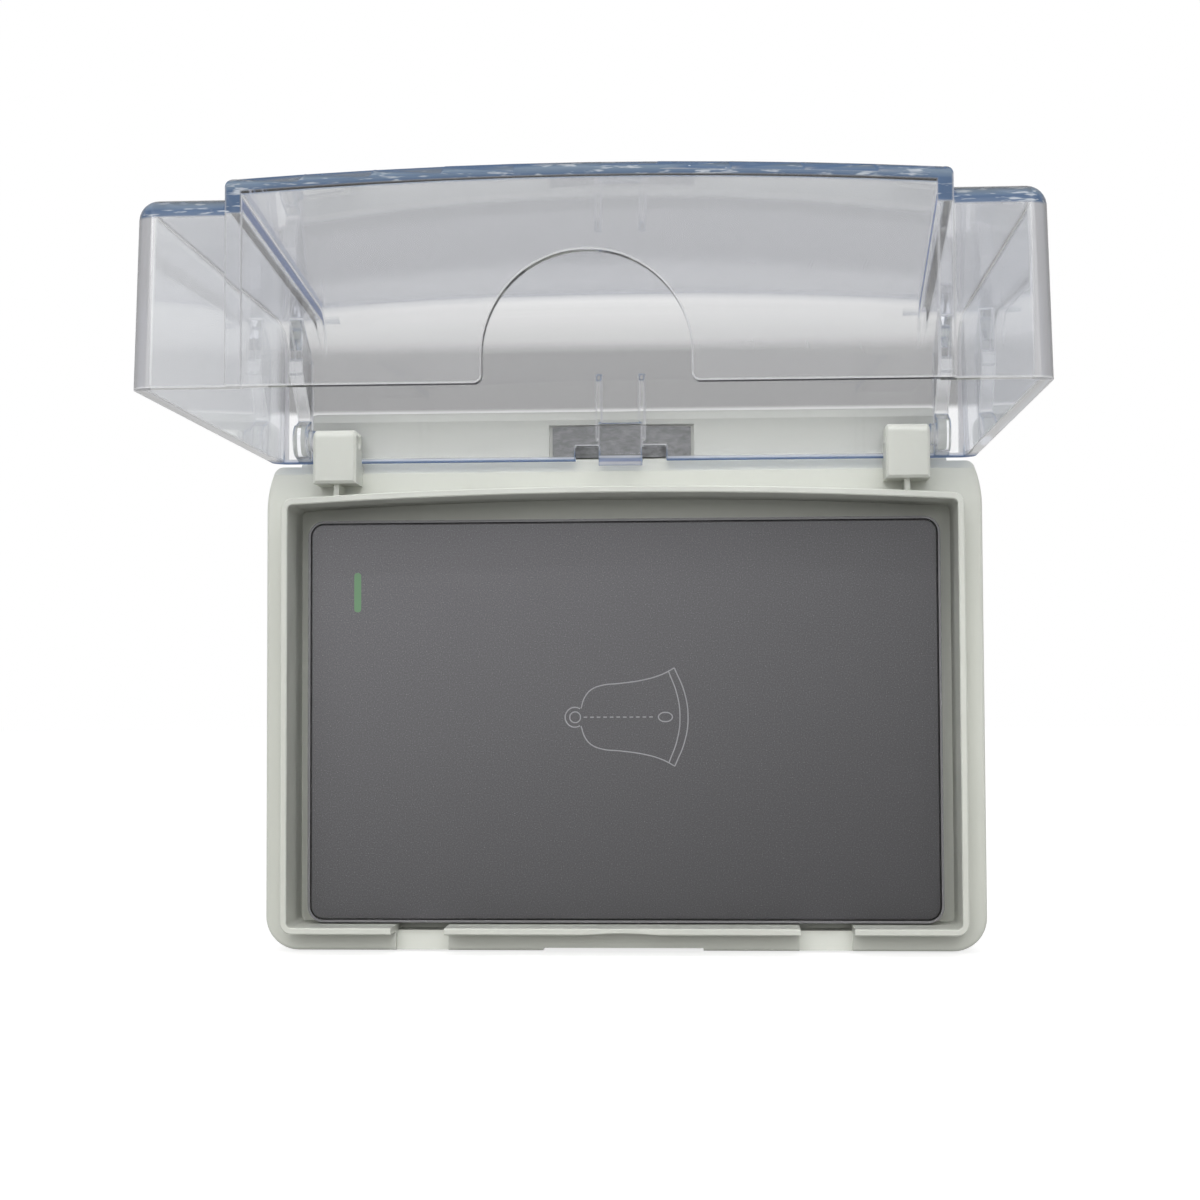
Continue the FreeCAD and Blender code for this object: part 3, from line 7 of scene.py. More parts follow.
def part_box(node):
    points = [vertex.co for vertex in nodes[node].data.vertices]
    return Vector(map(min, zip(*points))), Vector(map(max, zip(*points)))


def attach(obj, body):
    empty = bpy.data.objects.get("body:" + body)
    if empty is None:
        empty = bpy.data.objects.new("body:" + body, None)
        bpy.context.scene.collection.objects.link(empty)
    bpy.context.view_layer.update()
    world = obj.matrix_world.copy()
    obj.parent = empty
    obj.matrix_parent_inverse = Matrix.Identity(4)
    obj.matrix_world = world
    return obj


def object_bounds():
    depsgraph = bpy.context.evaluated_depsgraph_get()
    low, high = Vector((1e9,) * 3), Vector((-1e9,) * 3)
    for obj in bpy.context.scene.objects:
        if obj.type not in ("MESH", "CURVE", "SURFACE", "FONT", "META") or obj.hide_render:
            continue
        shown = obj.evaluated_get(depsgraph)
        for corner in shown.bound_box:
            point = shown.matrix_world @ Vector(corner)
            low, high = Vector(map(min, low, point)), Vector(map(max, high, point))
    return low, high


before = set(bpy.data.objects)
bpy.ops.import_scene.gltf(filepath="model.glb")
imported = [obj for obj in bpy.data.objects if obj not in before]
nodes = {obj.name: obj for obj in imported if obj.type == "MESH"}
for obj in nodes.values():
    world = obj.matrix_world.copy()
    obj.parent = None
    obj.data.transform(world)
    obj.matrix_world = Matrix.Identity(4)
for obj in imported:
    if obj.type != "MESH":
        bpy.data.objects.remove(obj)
cad_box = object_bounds()
scene = bpy.context.scene
scene.view_settings.view_transform = "Standard"

MM = 0.001

# Camera: a long lens a little right of the middle, turned slightly left and tilted slightly up

EYE = Vector((19.24, -405.87, 3.69)) * MM
TURN = Vector((0.0468, 0.0589, -0.0054))
FOCAL_PIXELS = 2130.5
PHOTO_WIDTH = 1200
SENSOR = 36.0

camera_data = bpy.data.cameras.new("camera")
camera_data.sensor_width = SENSOR
camera_data.lens = SENSOR * FOCAL_PIXELS / PHOTO_WIDTH
camera_data.clip_start = 0.01
camera = bpy.data.objects.new("camera", camera_data)
scene.collection.objects.link(camera)
upright = Matrix.Rotation(math.radians(90), 4, "X")
swing = Matrix.Rotation(TURN.length, 4, TURN.normalized())
camera.matrix_world = Matrix.Translation(EYE) @ upright @ swing
scene.camera = camera


# Material helpers


def new_material(name):
    material = bpy.data.materials.new(name)
    material.use_nodes = True
    tree = material.node_tree
    tree.nodes.clear()
    output = tree.nodes.new("ShaderNodeOutputMaterial")
    shader = tree.nodes.new("ShaderNodeBsdfPrincipled")
    tree.links.new(shader.outputs["BSDF"], output.inputs["Surface"])
    return material, tree, shader, output


def own_axes(tree, kind="Object"):
    """X, Y and Z in the piece's own axes: of the point, or with kind "Normal" of its normal."""
    place = tree.nodes.new("ShaderNodeTexCoord")
    parts = tree.nodes.new("ShaderNodeSeparateXYZ")
    tree.links.new(place.outputs[kind], parts.inputs[0])
    return parts.outputs["X"], parts.outputs["Y"], parts.outputs["Z"]


def noise(tree, scale, detail=2.0, roughness=0.5, stretch=(1, 1, 1)):
    place = tree.nodes.new("ShaderNodeTexCoord")
    mapping = tree.nodes.new("ShaderNodeMapping")
    mapping.inputs["Scale"].default_value = stretch
    tree.links.new(place.outputs["Object"], mapping.inputs["Vector"])
    texture = tree.nodes.new("ShaderNodeTexNoise")
    texture.inputs["Scale"].default_value = scale
    texture.inputs["Detail"].default_value = detail
    texture.inputs["Roughness"].default_value = roughness
    tree.links.new(mapping.outputs["Vector"], texture.inputs["Vector"])
    return texture.outputs["Fac"]


def ramp(tree, source, stops):
    node = tree.nodes.new("ShaderNodeValToRGB")
    elements = node.color_ramp.elements
    while len(elements) < len(stops):
        elements.new(0.5)
    for element, (position, color) in zip(elements, stops):
        element.position = position
        element.color = (*color, 1)
    tree.links.new(source, node.inputs["Fac"])
    return node.outputs["Color"]


def spread(tree, source, low, high, start=0.0, end=1.0):
    """The source's range from start to end, stretched to the range from low to high."""
    node = tree.nodes.new("ShaderNodeMapRange")
    node.inputs["From Min"].default_value = start
    node.inputs["From Max"].default_value = end
    node.inputs["To Min"].default_value = low
    node.inputs["To Max"].default_value = high
    tree.links.new(source, node.inputs["Value"])
    return node.outputs["Result"]


def grow(tree, source, span, unit=1.0):
    """Zero below the span, one above it."""
    return spread(tree, source, 0.0, 1.0, span[0] * unit, span[1] * unit)


def fade(tree, source, span, unit=1.0):
    """One below the span, zero above it."""
    return spread(tree, source, 1.0, 0.0, span[0] * unit, span[1] * unit)


def calculate(tree, operation, first, second=None):
    node = tree.nodes.new("ShaderNodeMath")
    node.operation = operation
    for socket, value in zip(node.inputs, (first, second)):
        if isinstance(value, (int, float)):
            socket.default_value = value
        elif value is not None:
            tree.links.new(value, socket)
    return node.outputs[0]


def product(tree, first, *others):
    for other in others:
        first = calculate(tree, "MULTIPLY", first, other)
    return first


def largest(tree, first, *others):
    for other in others:
        first = calculate(tree, "MAXIMUM", first, other)
    return first


def scaled(tree, color, factor):
    node = tree.nodes.new("ShaderNodeVectorMath")
    node.operation = "SCALE"
    tree.links.new(color, node.inputs[0])
    tree.links.new(factor, node.inputs["Scale"])
    return node.outputs["Vector"]


def blend(tree, share, first, second):
    """A colour between two, each a colour socket or a plain colour."""
    node = tree.nodes.new("ShaderNodeMix")
    node.data_type = "RGBA"
    tree.links.new(share, node.inputs[0])
    for socket, value in ((node.inputs[6], first), (node.inputs[7], second)):
        if isinstance(value, tuple):
            socket.default_value = (*value, 1)
        else:
            tree.links.new(value, socket)
    return node.outputs[2]


def layer(tree, share, under, over):
    node = tree.nodes.new("ShaderNodeMixShader")
    tree.links.new(share, node.inputs["Fac"])
    tree.links.new(under, node.inputs[1])
    tree.links.new(over, node.inputs[2])
    return node.outputs[0]


def bump(tree, shader, source, strength, distance):
    node = tree.nodes.new("ShaderNodeBump")
    node.inputs["Strength"].default_value = strength
    node.inputs["Distance"].default_value = distance
    tree.links.new(source, node.inputs["Height"])
    tree.links.new(node.outputs["Normal"], shader.inputs["Normal"])


def shown_rays(tree):
    """One for the rays that see a background directly, through glass or in a reflection."""
    path = tree.nodes.new("ShaderNodeLightPath")
    return largest(tree, path.outputs["Is Camera Ray"], path.outputs["Is Glossy Ray"],
                   path.outputs["Is Transmission Ray"])


# Opaque materials

FINE_GRAIN = 0.00002
UNEVEN_GLOSS = (0.85, 1.15)
METAL_GLOSS = (0.7, 1.3)
METAL_DARK = 0.45


def moulded(name, color, roughness, grain=FINE_GRAIN, scale=2200, tone=0.04):
    """A moulded plastic: faint tone changes, a fine grain and slightly uneven gloss."""
    material, tree, shader, _ = new_material(name)
    broad = noise(tree, 22, 3)
    darker = tuple(channel * (1 - tone) for channel in color)
    lighter = tuple(min(1, channel * (1 + tone)) for channel in color)
    shade = ramp(tree, broad, [(0.35, darker), (0.65, lighter)])
    tree.links.new(shade, shader.inputs["Base Color"])
    gloss = spread(tree, broad, *(roughness * factor for factor in UNEVEN_GLOSS))
    tree.links.new(gloss, shader.inputs["Roughness"])
    bump(tree, shader, noise(tree, scale, 2), 0.15, grain)
    return material


def metal(name, color, roughness, stretch=(1, 1, 1), scale=600):
    """A bare metal with mottled or streaky tone and gloss."""
    material, tree, shader, _ = new_material(name)
    shader.inputs["Metallic"].default_value = 1.0
    streaks = noise(tree, scale, 4, 0.6, stretch)
    darker = tuple(channel * METAL_DARK for channel in color)
    shade = ramp(tree, streaks, [(0.3, darker), (0.7, color)])
    tree.links.new(shade, shader.inputs["Base Color"])
    gloss = spread(tree, streaks, *(roughness * factor for factor in METAL_GLOSS))
    tree.links.new(gloss, shader.inputs["Roughness"])
    bump(tree, shader, streaks, 0.2, FINE_GRAIN)
    return material


# Painted light on the key: its colour is made lighter towards its top and its left and darker
# towards its bottom and right: where in mm, and how much
FLECKS = [
    (0.30, (0.098, 0.096, 0.101)), (0.55, (0.116, 0.114, 0.120)),
    (0.68, (0.15, 0.15, 0.156)), (0.80, (0.24, 0.24, 0.245)),
]
KEY_HALF_TALL = 37
KEY_HALF_WIDE = 59
PAINTED_LIGHT_UP = (0.76, 1.36)
PAINTED_LIGHT_ACROSS = (1.10, 0.72)


def graphite(name):
    """Dark grey lacquer with a fine metallic fleck, and painted light: lighter towards the top and
    the left.
    """
    material, tree, shader, _ = new_material(name)
    fleck = noise(tree, 4600, 1, 0.6)
    base = ramp(tree, fleck, FLECKS)
    x, _, z = own_axes(tree)
    # Painted light: the fleck colour is scaled up towards the key's top and left, and down towards
    # its bottom and right
    painted_light_rise = spread(tree, z, *PAINTED_LIGHT_UP, -KEY_HALF_TALL * MM, KEY_HALF_TALL * MM)
    painted_light_lean = spread(tree, x, *PAINTED_LIGHT_ACROSS, -KEY_HALF_WIDE * MM, KEY_HALF_WIDE * MM)
    shade = scaled(tree, base, product(tree, painted_light_rise, painted_light_lean))
    tree.links.new(shade, shader.inputs["Base Color"])
    shader.inputs["Metallic"].default_value = 0.55
    tree.links.new(spread(tree, fleck, 0.58, 0.42), shader.inputs["Roughness"])
    bump(tree, shader, fleck, 0.15, FINE_GRAIN)
    return material


# Clear plastic of the cover. Places are in mm in the cover's own axes, as it stands open:
# its free wall is nearest, at -Y, and the wall by the hinge is the rear wall.

# Painted shade: the colour that passes turns darker and bluer where a wall is seen at a flat
# angle, more so where it faces up or down
PAINTED_ANGLE_SHADE_SIDES = [
    (0.0, (0.96, 0.96, 0.96)), (0.5, (0.93, 0.93, 0.93)), (0.8, (0.56, 0.585, 0.63)),
    (1.0, (0.32, 0.38, 0.52)),
]
PAINTED_ANGLE_SHADE_TOP = [
    (0.0, (0.98, 0.98, 0.98)), (0.45, (0.92, 0.92, 0.92)), (0.7, (0.50, 0.51, 0.54)),
    (0.85, (0.17, 0.185, 0.235)), (1.0, (0.12, 0.14, 0.19)),
]
PLASTIC_COLOR = (0.30, 0.48, 0.90, 1)
PLASTIC_DENSITY = 7.0
SHADOW_COLOR = (0.90, 0.90, 0.91, 1)

# Painted shade in the rear wall, in level bands: height and share of the light that passes
REAR_WALL = (-19.0, -12.0)
PAINTED_SHADE_HEIGHT_FOOT = 56.0
PAINTED_SHADE_HEIGHT_TOP = 80.0
PAINTED_SHADE_LEVELS = [
    (57.2, 1.0), (58.2, 0.34), (68.5, 0.36), (71.0, 0.62), (77.0, 0.76), (79.0, 1.0),
]

HAZE = (0.056, 0.104)
HAZE_COLOR = (0.66, 0.66, 0.66)

# Edge colours: the plastic's blue through its thickness, painted light grey and a painted white
# highlight
EDGE_BLUE = (0.13, 0.20, 0.33)
PAINTED_LIGHT_GREY = (0.62, 0.62, 0.64)
PAINTED_HIGHLIGHT_WHITE = (0.97, 0.97, 0.98)

# A narrow line along each edge: blue where the edge turns up, painted light grey elsewhere, and a
# painted white highlight where it turns down
LINE_WIDTH = 0.55
LINE_SHARE = 0.90
LINE_FLAT = (0.92, 0.992)
TURNS_UP = (0.05, 0.30)
TURNS_DOWN = (-0.30, -0.05)
HINGE_RIM = (49.5, 51.0)

# Strips where a wall is seen along its length: the cambered top, the wings beside it, the sides,
# the steps between top and wings, and the rim by the hinge. Their colour is the plastic's blue
# through its thickness with painted light: pale grey sides, a lighter middle in the top strip and
# pale rim lines
STRIP_SHARE = 0.85
FACES_FRONT = (-0.9, -0.4)
FACES_SIDEWAYS = (0.5, 0.8)
WALL = 2.2
SOFT = 0.3
CROWN_TOP = 79.7
CROWN_BEND = 0.611
CROWN_HALF = 52.0
WING_TOP = 75.9
SIDE_INNER = 62.2
FREE_WALL = (-107.5, -105.5)
STEP_INNER = 49.0
STEP_FOOT = (72.8, 73.2)
STEP_WITHIN = (59, 60)
STEP_LOW = (73.4, 73.6)
STEP_HIGH = (75.4, 76.0)
STEP_COLOR = (0.20, 0.27, 0.50)
RIM_EDGE = (48.8, 49.1)
RIM_SPAN = (47.1, 49.0)
RIM_BLUE_AND_PAINTED_LIGHT = [
    (0.30, (0.70, 0.71, 0.76)), (0.42, (0.24, 0.32, 0.56)), (0.66, (0.17, 0.25, 0.45)),
    (0.80, (0.62, 0.66, 0.74)),
]
WALL_BLUE_AND_PAINTED_LIGHT = [
    (0.0, EDGE_BLUE), (0.18, (0.20, 0.28, 0.39)), (0.45, (0.27, 0.35, 0.45)),
    (0.72, (0.20, 0.28, 0.40)), (0.88, EDGE_BLUE),
]
# Painted glints: pale flecks of noise along the strip of the cambered top
PAINTED_GLINT_COLOR = (0.74, 0.79, 0.85)
PAINTED_GLINT_SHARE = 0.85
PAINTED_GLINT_RANGE = (0.56, 0.66)


def near_edge(tree, radius):
    """How flat the surface is within a radius in mm (1 off the edges), and how far up it turns."""
    rounded = tree.nodes.new("ShaderNodeBevel")
    rounded.samples = 4
    rounded.inputs["Radius"].default_value = radius * MM
    surface = tree.nodes.new("ShaderNodeNewGeometry")
    turn = tree.nodes.new("ShaderNodeVectorMath")
    turn.operation = "DOT_PRODUCT"
    tree.links.new(rounded.outputs["Normal"], turn.inputs[0])
    tree.links.new(surface.outputs["True Normal"], turn.inputs[1])
    own = tree.nodes.new("ShaderNodeVectorTransform")
    own.vector_type = "NORMAL"
    own.convert_from = "WORLD"
    own.convert_to = "OBJECT"
    tree.links.new(rounded.outputs["Normal"], own.inputs[0])
    parts = tree.nodes.new("ShaderNodeSeparateXYZ")
    tree.links.new(own.outputs[0], parts.inputs[0])
    return calculate(tree, "ABSOLUTE", turn.outputs["Value"]), parts.outputs["Z"]


def translucent(tree, color):
    """A shader that scatters light to both sides, in a colour socket's or a plain colour."""
    glow = tree.nodes.new("ShaderNodeBsdfTranslucent")
    shine = tree.nodes.new("ShaderNodeBsdfDiffuse")
    both = tree.nodes.new("ShaderNodeMixShader")
    both.inputs["Fac"].default_value = 0.7
    for number, part in enumerate((glow, shine), 1):
        if isinstance(color, tuple):
            part.inputs["Color"].default_value = (*color, 1)
        else:
            tree.links.new(color, part.inputs["Color"])
        tree.links.new(part.outputs[0], both.inputs[number])
    return both.outputs[0]


def painted_shade_tint(tree, z, normal_z, rear):
    """The colour that passes, with painted shade: darker and bluer at a flat angle, and darker in
    level bands in the rear wall.
    """
    angle = tree.nodes.new("ShaderNodeLayerWeight")
    angle.inputs["Blend"].default_value = 0.5
    # Painted shade by the angle at which the wall is seen
    angle_shade_sides = ramp(tree, angle.outputs["Facing"], PAINTED_ANGLE_SHADE_SIDES)
    angle_shade_top = ramp(tree, angle.outputs["Facing"], PAINTED_ANGLE_SHADE_TOP)
    tint = blend(tree, calculate(tree, "ABSOLUTE", normal_z), angle_shade_sides, angle_shade_top)
    # Painted shade: the rear wall is darkened in level bands by height
    level = ramp(tree, grow(tree, z, (PAINTED_SHADE_HEIGHT_FOOT, PAINTED_SHADE_HEIGHT_TOP), MM), [
        ((height - PAINTED_SHADE_HEIGHT_FOOT) / (PAINTED_SHADE_HEIGHT_TOP - PAINTED_SHADE_HEIGHT_FOOT), (share, share, share))
        for height, share in PAINTED_SHADE_LEVELS
    ])
    painted_shade = product(tree, rear, calculate(tree, "SUBTRACT", 1.0, level))
    return scaled(tree, tint, calculate(tree, "SUBTRACT", 1.0, painted_shade))


def edge_line(tree, z, rear):
    """Share and colour of the narrow line along the edges: blue where an edge turns up, painted
    light and highlight elsewhere.
    """
    flat, up = near_edge(tree, LINE_WIDTH)
    hinge_rim = product(tree, rear, fade(tree, z, HINGE_RIM, MM))
    blue = largest(tree, grow(tree, up, TURNS_UP), hinge_rim)
    # Painted highlight: white where the edge turns down, painted light grey where it turns
    # sideways
    pale = blend(tree, fade(tree, up, TURNS_DOWN), PAINTED_LIGHT_GREY, PAINTED_HIGHLIGHT_WHITE)
    return spread(tree, flat, LINE_SHARE, 0.0, *LINE_FLAT), blend(tree, blue, pale, EDGE_BLUE)


def edge_strips(tree, point, normal, rear):
    """Share and colour of the strips where a wall is seen along its length: the plastic's blue
    with painted light.
    """
    x, y, z = point
    normal_x, normal_y, _ = normal
    across = calculate(tree, "ABSOLUTE", x)
    dip = product(tree, across, across, CROWN_BEND)
    crown = calculate(tree, "SUBTRACT", CROWN_TOP * MM, dip)
    wing = calculate(tree, "GREATER_THAN", across, CROWN_HALF * MM)
    top = calculate(tree, "MINIMUM", crown, spread(tree, wing, CROWN_TOP * MM, WING_TOP * MM))
    depth = calculate(tree, "SUBTRACT", top, z)
    free_wall = fade(tree, y, FREE_WALL, MM)
    step_front = product(tree, grow(tree, across, (STEP_INNER, STEP_INNER + SOFT), MM),
                         grow(tree, z, STEP_FOOT, MM), free_wall)
    top_strip = largest(tree, fade(tree, depth, (WALL - SOFT, WALL), MM), step_front)
    side_strip = grow(tree, across, (SIDE_INNER, SIDE_INNER + SOFT), MM)
    facing = fade(tree, normal_y, FACES_FRONT)
    sideways = grow(tree, calculate(tree, "ABSOLUTE", normal_x), FACES_SIDEWAYS)
    step_low = product(tree, grow(tree, z, STEP_LOW, MM), fade(tree, z, STEP_HIGH, MM))
    step_wall = product(tree, sideways, fade(tree, across, STEP_WITHIN, MM), step_low)
    rim_strip = product(tree, rear, fade(tree, z, RIM_EDGE, MM))
    share = largest(tree, product(tree, top_strip, facing),
                    product(tree, side_strip, largest(tree, facing, free_wall)),
                    rim_strip, step_wall)

    through_wall = ramp(tree, grow(tree, depth, (0.0, WALL), MM), WALL_BLUE_AND_PAINTED_LIGHT)
    # Painted glints in the top strip
    painted_glints = noise(tree, 900, 2, 0.6, (0.35, 1, 2.2))
    painted_glint = spread(tree, painted_glints, 0.0, PAINTED_GLINT_SHARE, *PAINTED_GLINT_RANGE)
    strip_with_painted_glints = blend(tree, painted_glint, through_wall, PAINTED_GLINT_COLOR)
    # Painted light: pale lines along the rim by the hinge, with blue between them
    rim_blue_and_painted_light = ramp(tree, grow(tree, z, RIM_SPAN, MM), RIM_BLUE_AND_PAINTED_LIGHT)
    color = blend(tree, top_strip, PAINTED_LIGHT_GREY, strip_with_painted_glints)
    color = blend(tree, rim_strip, color, rim_blue_and_painted_light)
    return product(tree, share, STRIP_SHARE), blend(tree, step_wall, color, STEP_COLOR)


def clear_plastic():
    """Clear polycarbonate: neutral face on, blue along its upper edges, with painted shade at a
    flat angle and in the rear wall, and painted light along its edges and rim.

    Light passes through it, so the box under it isn't in full shade.
    """
    material, tree, shader, output = new_material("clear_plastic")
    point = own_axes(tree)
    normal = own_axes(tree, "Normal")
    rear = grow(tree, point[1], REAR_WALL, MM)
    shader.inputs["Transmission Weight"].default_value = 1.0
    shader.inputs["IOR"].default_value = 1.5
    shader.inputs["Roughness"].default_value = 0.02
    tree.links.new(painted_shade_tint(tree, point[2], normal[2], rear), shader.inputs["Base Color"])
    absorb = tree.nodes.new("ShaderNodeVolumeAbsorption")
    absorb.inputs["Color"].default_value = PLASTIC_COLOR
    absorb.inputs["Density"].default_value = PLASTIC_DENSITY
    tree.links.new(absorb.outputs["Volume"], output.inputs["Volume"])

    surface = tree.nodes.new("ShaderNodeNewGeometry")
    outside = calculate(tree, "SUBTRACT", 1.0, surface.outputs["Backfacing"])
    haze = product(tree, outside, spread(tree, noise(tree, 60, 3), *HAZE))
    body = layer(tree, haze, shader.outputs["BSDF"], translucent(tree, HAZE_COLOR))
    strip_share, strip_color = edge_strips(tree, point, normal, rear)
    body = layer(tree, product(tree, outside, strip_share), body, translucent(tree, strip_color))
    line_share, line_color = edge_line(tree, point[2], rear)
    body = layer(tree, line_share, body, translucent(tree, line_color))

    path = tree.nodes.new("ShaderNodeLightPath")
    pass_on = tree.nodes.new("ShaderNodeBsdfTransparent")
    pass_on.inputs["Color"].default_value = SHADOW_COLOR
    tree.links.new(layer(tree, path.outputs["Is Shadow Ray"], body, pass_on.outputs[0]),
                   output.inputs["Surface"])
    return material


white = moulded("white_plastic", (0.645, 0.658, 0.60), 0.34)
black = moulded("black_plastic", (0.028, 0.028, 0.03), 0.5)
foam = moulded("seal_foam", (0.035, 0.035, 0.035), 0.9, grain=0.0001, scale=1400)
key_grey = graphite("graphite_plastic")
board = moulded("board_green", (0.015, 0.13, 0.05), 0.35)
module = moulded("module_black", (0.02, 0.02, 0.022), 0.45)
sleeve = moulded("capacitor_sleeve", (0.012, 0.02, 0.06), 0.25)
terminal = moulded("terminal_plastic", (0.06, 0.22, 0.07), 0.4)
lamp = moulded("led_body", (0.75, 0.72, 0.5), 0.3)
strip = moulded("frosted_strip", (0.14, 0.27, 0.145), 0.35, tone=0.02)
trim = moulded("trim_grey", (0.17, 0.168, 0.175), 0.35)
ink = moulded("pale_ink", (0.29, 0.29, 0.30), 0.55, tone=0.03)
spring = metal("spring_steel", (0.30, 0.305, 0.31), 0.38, (0.5, 1, 1), 1500)
zinc = metal("zinc_steel", (0.62, 0.62, 0.58), 0.38)
shield = metal("shield_metal", (0.66, 0.66, 0.64), 0.3)
screw = metal("screw_steel", (0.6, 0.6, 0.6), 0.3)
clear = clear_plastic()

FINISHES = {
    "base_frame": white, "clear_lid": clear, "leaf_spring": spring, "rear_gasket": foam,
    "mounting_yoke": zinc, "trim_frame": trim, "key_carrier": black, "key_plate": key_grey,
    "light_guide": strip, "rear_housing": black, "main_board": board, "tact_switch": black,
    "tact_plunger": black, "power_module": module, "capacitor": sleeve, "radio_module": board,
    "radio_shield": shield, "led_board": board, "status_leds": lamp, "terminal_block": terminal,
    "terminal_screws": screw, "housing_screws": screw, "wall_screws": screw,
}
for name, material in FINISHES.items():
    thing = nodes[name]
    thing.data.materials.clear()
    thing.data.materials.append(material)


# Printed sign on the key: a bell lying on its side, drawn in thin pale lines. Sizes in mm,
# across and up from the key's middle.

SIGN_LINE = 0.13
SIGN_AXIS = 0.5
SIGN_STAND = 0.2
BELL_SIDE = [
    (-7.7, 1.65), (-7.0, 3.7), (-5.8, 5.1), (-3.6, 5.95),
    (-0.6, 6.25), (4.2, 6.95), (7.4, 7.9), (9.7, 9.1),
]
RIM_BULGE = 12.2
RIM_INNER = 10.7
RIM_INSET = 1.1
RIM_SHORT = 0.6
RIM_ROUND = 0.74
RING_PLACE = -8.8
RING_INNER = 1.0
RING_OUTER = 1.85
RING_OPEN = (60, 300)
RING_STEPS = 8
CLAPPER = (8.0, 1.3, 0.85)
DASHES = 11
DASH_RANGE = (-7.2, 6.2)
DASH_SHARE = 0.55

key_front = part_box("key_plate")[0][1]


def ink_line(points, closed=False, smooth=True):
    """A thin raised line of ink through points given as X and Z on the key's face."""
    data = bpy.data.curves.new("sign_line", "CURVE")
    data.dimensions = "3D"
    data.bevel_depth = SIGN_LINE * MM
    data.bevel_resolution = 1
    data.resolution_u = 8
    data.use_fill_caps = True
    spline = data.splines.new("BEZIER" if smooth else "POLY")
    holders = spline.bezier_points if smooth else spline.points
    holders.add(len(points) - 1)
    for holder, (across, up) in zip(holders, points):
        place = (across * MM, 0, (up + SIGN_AXIS) * MM)
        if smooth:
            holder.co = place
            holder.handle_left_type = holder.handle_right_type = "AUTO"
        else:
            holder.co = (*place, 1)
    spline.use_cyclic_u = closed
    return data


def arc_points(centre, radius_across, radius_up, start, end, count):
    angles = [math.radians(start + (end - start) * step / count) for step in range(count + 1)]
    return [(centre + radius_across * math.cos(angle), radius_up * math.sin(angle))
            for angle in angles]


def whole_ring(centre, radius_across, radius_up, count=RING_STEPS):
    return arc_points(centre, radius_across, radius_up, 0, 360 - 360 / count, count - 1)


def bow(end_across, end_up, middle_across):
    """Five points from an upper end through a bulge on the axis to the lower end."""
    quarter = end_across + RIM_ROUND * (middle_across - end_across)
    return [(end_across, end_up), (quarter, end_up / 2), (middle_across, 0),
            (quarter, -end_up / 2), (end_across, -end_up)]


def bell_lines():
    rim_across, rim_up = BELL_SIDE[-1]
    yield ink_line(BELL_SIDE)
    yield ink_line([(across, -up) for across, up in BELL_SIDE])
    yield ink_line(bow(rim_across, rim_up, RIM_BULGE))
    yield ink_line(bow(rim_across - RIM_INSET, rim_up - RIM_SHORT, RIM_INNER))
    yield ink_line(whole_ring(RING_PLACE, RING_INNER, RING_INNER), closed=True)
    yield ink_line(arc_points(RING_PLACE, RING_OUTER, RING_OUTER, *RING_OPEN, RING_STEPS))
    yield ink_line(whole_ring(*CLAPPER), closed=True)
    start, end = DASH_RANGE
    pitch = (end - start) / DASHES
    for number in range(DASHES):
        left = start + pitch * number
        yield ink_line([(left, 0), (left + pitch * DASH_SHARE, 0)], smooth=False)


def line_mesh(name, data):
    """The line's mesh, with the line itself taken away again."""
    thing = bpy.data.objects.new(name, data)
    scene.collection.objects.link(thing)
    bpy.context.view_layer.update()
    graph = bpy.context.evaluated_depsgraph_get()
    mesh = bpy.data.meshes.new_from_object(thing.evaluated_get(graph))
    bpy.data.objects.remove(thing)
    return mesh


def printed_sign():
    points = []
    faces = []
    for number, data in enumerate(bell_lines()):
        mesh = line_mesh(f"line_{number}", data)
        first = len(points)
        points += [(v.co.x, key_front + v.co.y * SIGN_STAND, v.co.z) for v in mesh.vertices]
        faces += [[first + index for index in face.vertices] for face in mesh.polygons]
        bpy.data.meshes.remove(mesh)
    joined = bpy.data.meshes.new("bell_sign")
    joined.from_pydata(points, [], faces)
    sign = bpy.data.objects.new("bell_sign", joined)
    scene.collection.objects.link(sign)
    joined.materials.append(ink)
    for face in joined.polygons:
        face.use_smooth = True
    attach(sign, "key")


printed_sign()


# Stage: a pale floor under the object, shown white and darker where the object shades it

FLOOR_HALF = 3.0
FLOOR_DROP = 0.4 * MM
FLOOR_WHITE = 0.76
FLOOR_TONES = [(0.3, (0.385, 0.385, 0.38)), (0.7, (0.415, 0.415, 0.41))]


def pale_floor():
    low = cad_box[0][2] - FLOOR_DROP
    mesh = bpy.data.meshes.new("floor")
    corners = [(x * FLOOR_HALF, y * FLOOR_HALF, low)
               for x, y in ((-1, -1), (1, -1), (1, 1), (-1, 1))]
    mesh.from_pydata(corners, [], [(0, 1, 2, 3)])
    floor = bpy.data.objects.new("floor", mesh)
    scene.collection.objects.link(floor)
    material, tree, shader, output = new_material("floor_paper")
    shader.inputs["Roughness"].default_value = 0.9
    paper = ramp(tree, noise(tree, 4, 3), FLOOR_TONES)
    tree.links.new(paper, shader.inputs["Base Color"])
    pale = tree.nodes.new("ShaderNodeEmission")
    pale.inputs["Color"].default_value = (1, 1, 1, 1)
    tree.links.new(product(tree, shown_rays(tree), FLOOR_WHITE), pale.inputs["Strength"])
    both = tree.nodes.new("ShaderNodeAddShader")
    tree.links.new(shader.outputs["BSDF"], both.inputs[0])
    tree.links.new(pale.outputs[0], both.inputs[1])
    tree.links.new(both.outputs[0], output.inputs["Surface"])
    mesh.materials.append(material)


pale_floor()


# Studio light: an even white surround, a soft lamp from above, one from the front and a row
# of small ones above. Lamp places and sizes in metres, powers in watts.

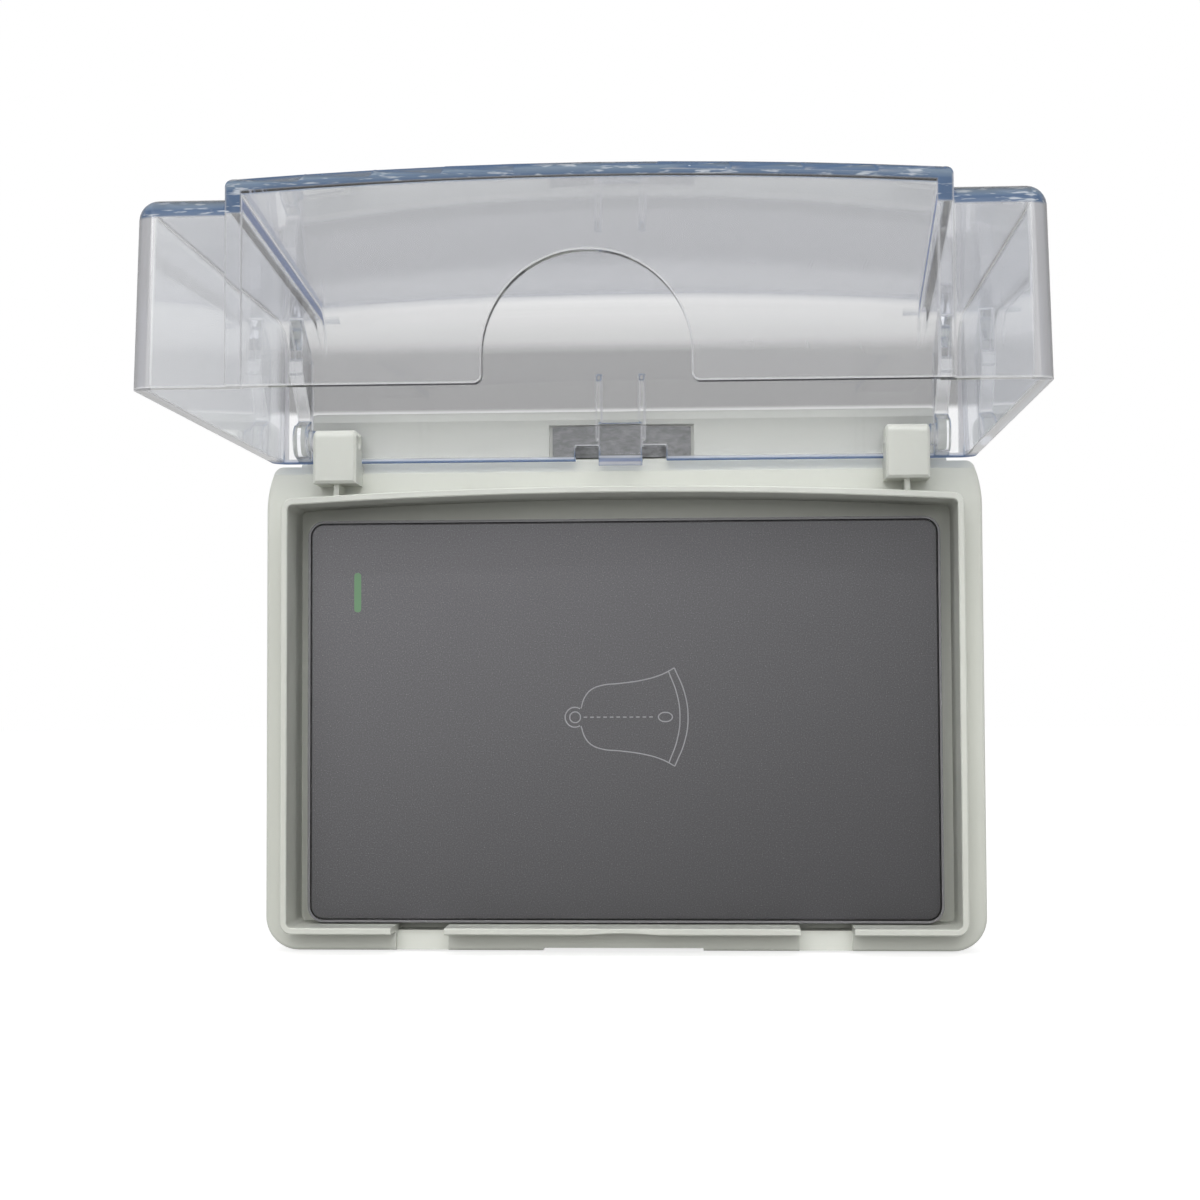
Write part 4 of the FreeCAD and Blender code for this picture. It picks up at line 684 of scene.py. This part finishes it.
# The surround is even, yet its level goes through its height: set as one plain number it
# leaves the clear cover and the key slightly darker
SKY_LOW = 0.50
SKY_HIGH = 0.50
SKY_SPAN = (-0.3, 0.9)
KEY_PLACE = (-0.1, -0.75, 0.95)
KEY_TARGET = (0, 0, 0.02)
KEY_SIZE = (1.1, 0.7)
KEY_POWER = 0.4
FILL_PLACE = (-0.05, -1.2, 0.39)
FILL_TARGET = (0, 0, 0.0)
FILL_SIZE = (0.8, 0.6)
FILL_POWER = 6.8
ROW_COUNT = 12
ROW_PITCH = 0.09
ROW_OUT = -0.55
ROW_RISE = 1.0
ROW_TARGET = (0, 0, 0.06)
ROW_SIZE = (0.03, 0.03)
ROW_POWER = 0.20


def studio_world():
    world = bpy.data.worlds.new("studio")
    scene.world = world
    world.use_nodes = True
    tree = world.node_tree
    tree.nodes.clear()
    out = tree.nodes.new("ShaderNodeOutputWorld")
    seen = tree.nodes.new("ShaderNodeBackground")
    light = tree.nodes.new("ShaderNodeBackground")
    for ground in (seen, light):
        ground.inputs["Color"].default_value = (1, 1, 1, 1)
    seen.inputs["Strength"].default_value = 1.0
    _, _, height = own_axes(tree, "Generated")
    level = spread(tree, height, SKY_LOW, SKY_HIGH, *SKY_SPAN)
    tree.links.new(level, light.inputs["Strength"])
    tree.links.new(layer(tree, shown_rays(tree), light.outputs[0], seen.outputs[0]),
                   out.inputs["Surface"])


def soft_lamp(name, place, target, size, power):
    data = bpy.data.lights.new(name, "AREA")
    data.shape = "RECTANGLE"
    data.size, data.size_y = size
    data.energy = power
    thing = bpy.data.objects.new(name, data)
    scene.collection.objects.link(thing)
    thing.location = place
    direction = Vector(target) - Vector(place)
    thing.rotation_euler = direction.to_track_quat("-Z", "Y").to_euler()
    return thing


studio_world()
soft_lamp("key_light", KEY_PLACE, KEY_TARGET, KEY_SIZE, KEY_POWER)
fill = soft_lamp("fill_light", FILL_PLACE, FILL_TARGET, FILL_SIZE, FILL_POWER)
fill.visible_glossy = False
fill.visible_transmission = False
for number in range(ROW_COUNT):
    across = ROW_PITCH * (number - (ROW_COUNT - 1) / 2)
    soft_lamp(f"row_{number}", (across, ROW_OUT, ROW_RISE), ROW_TARGET, ROW_SIZE, ROW_POWER)
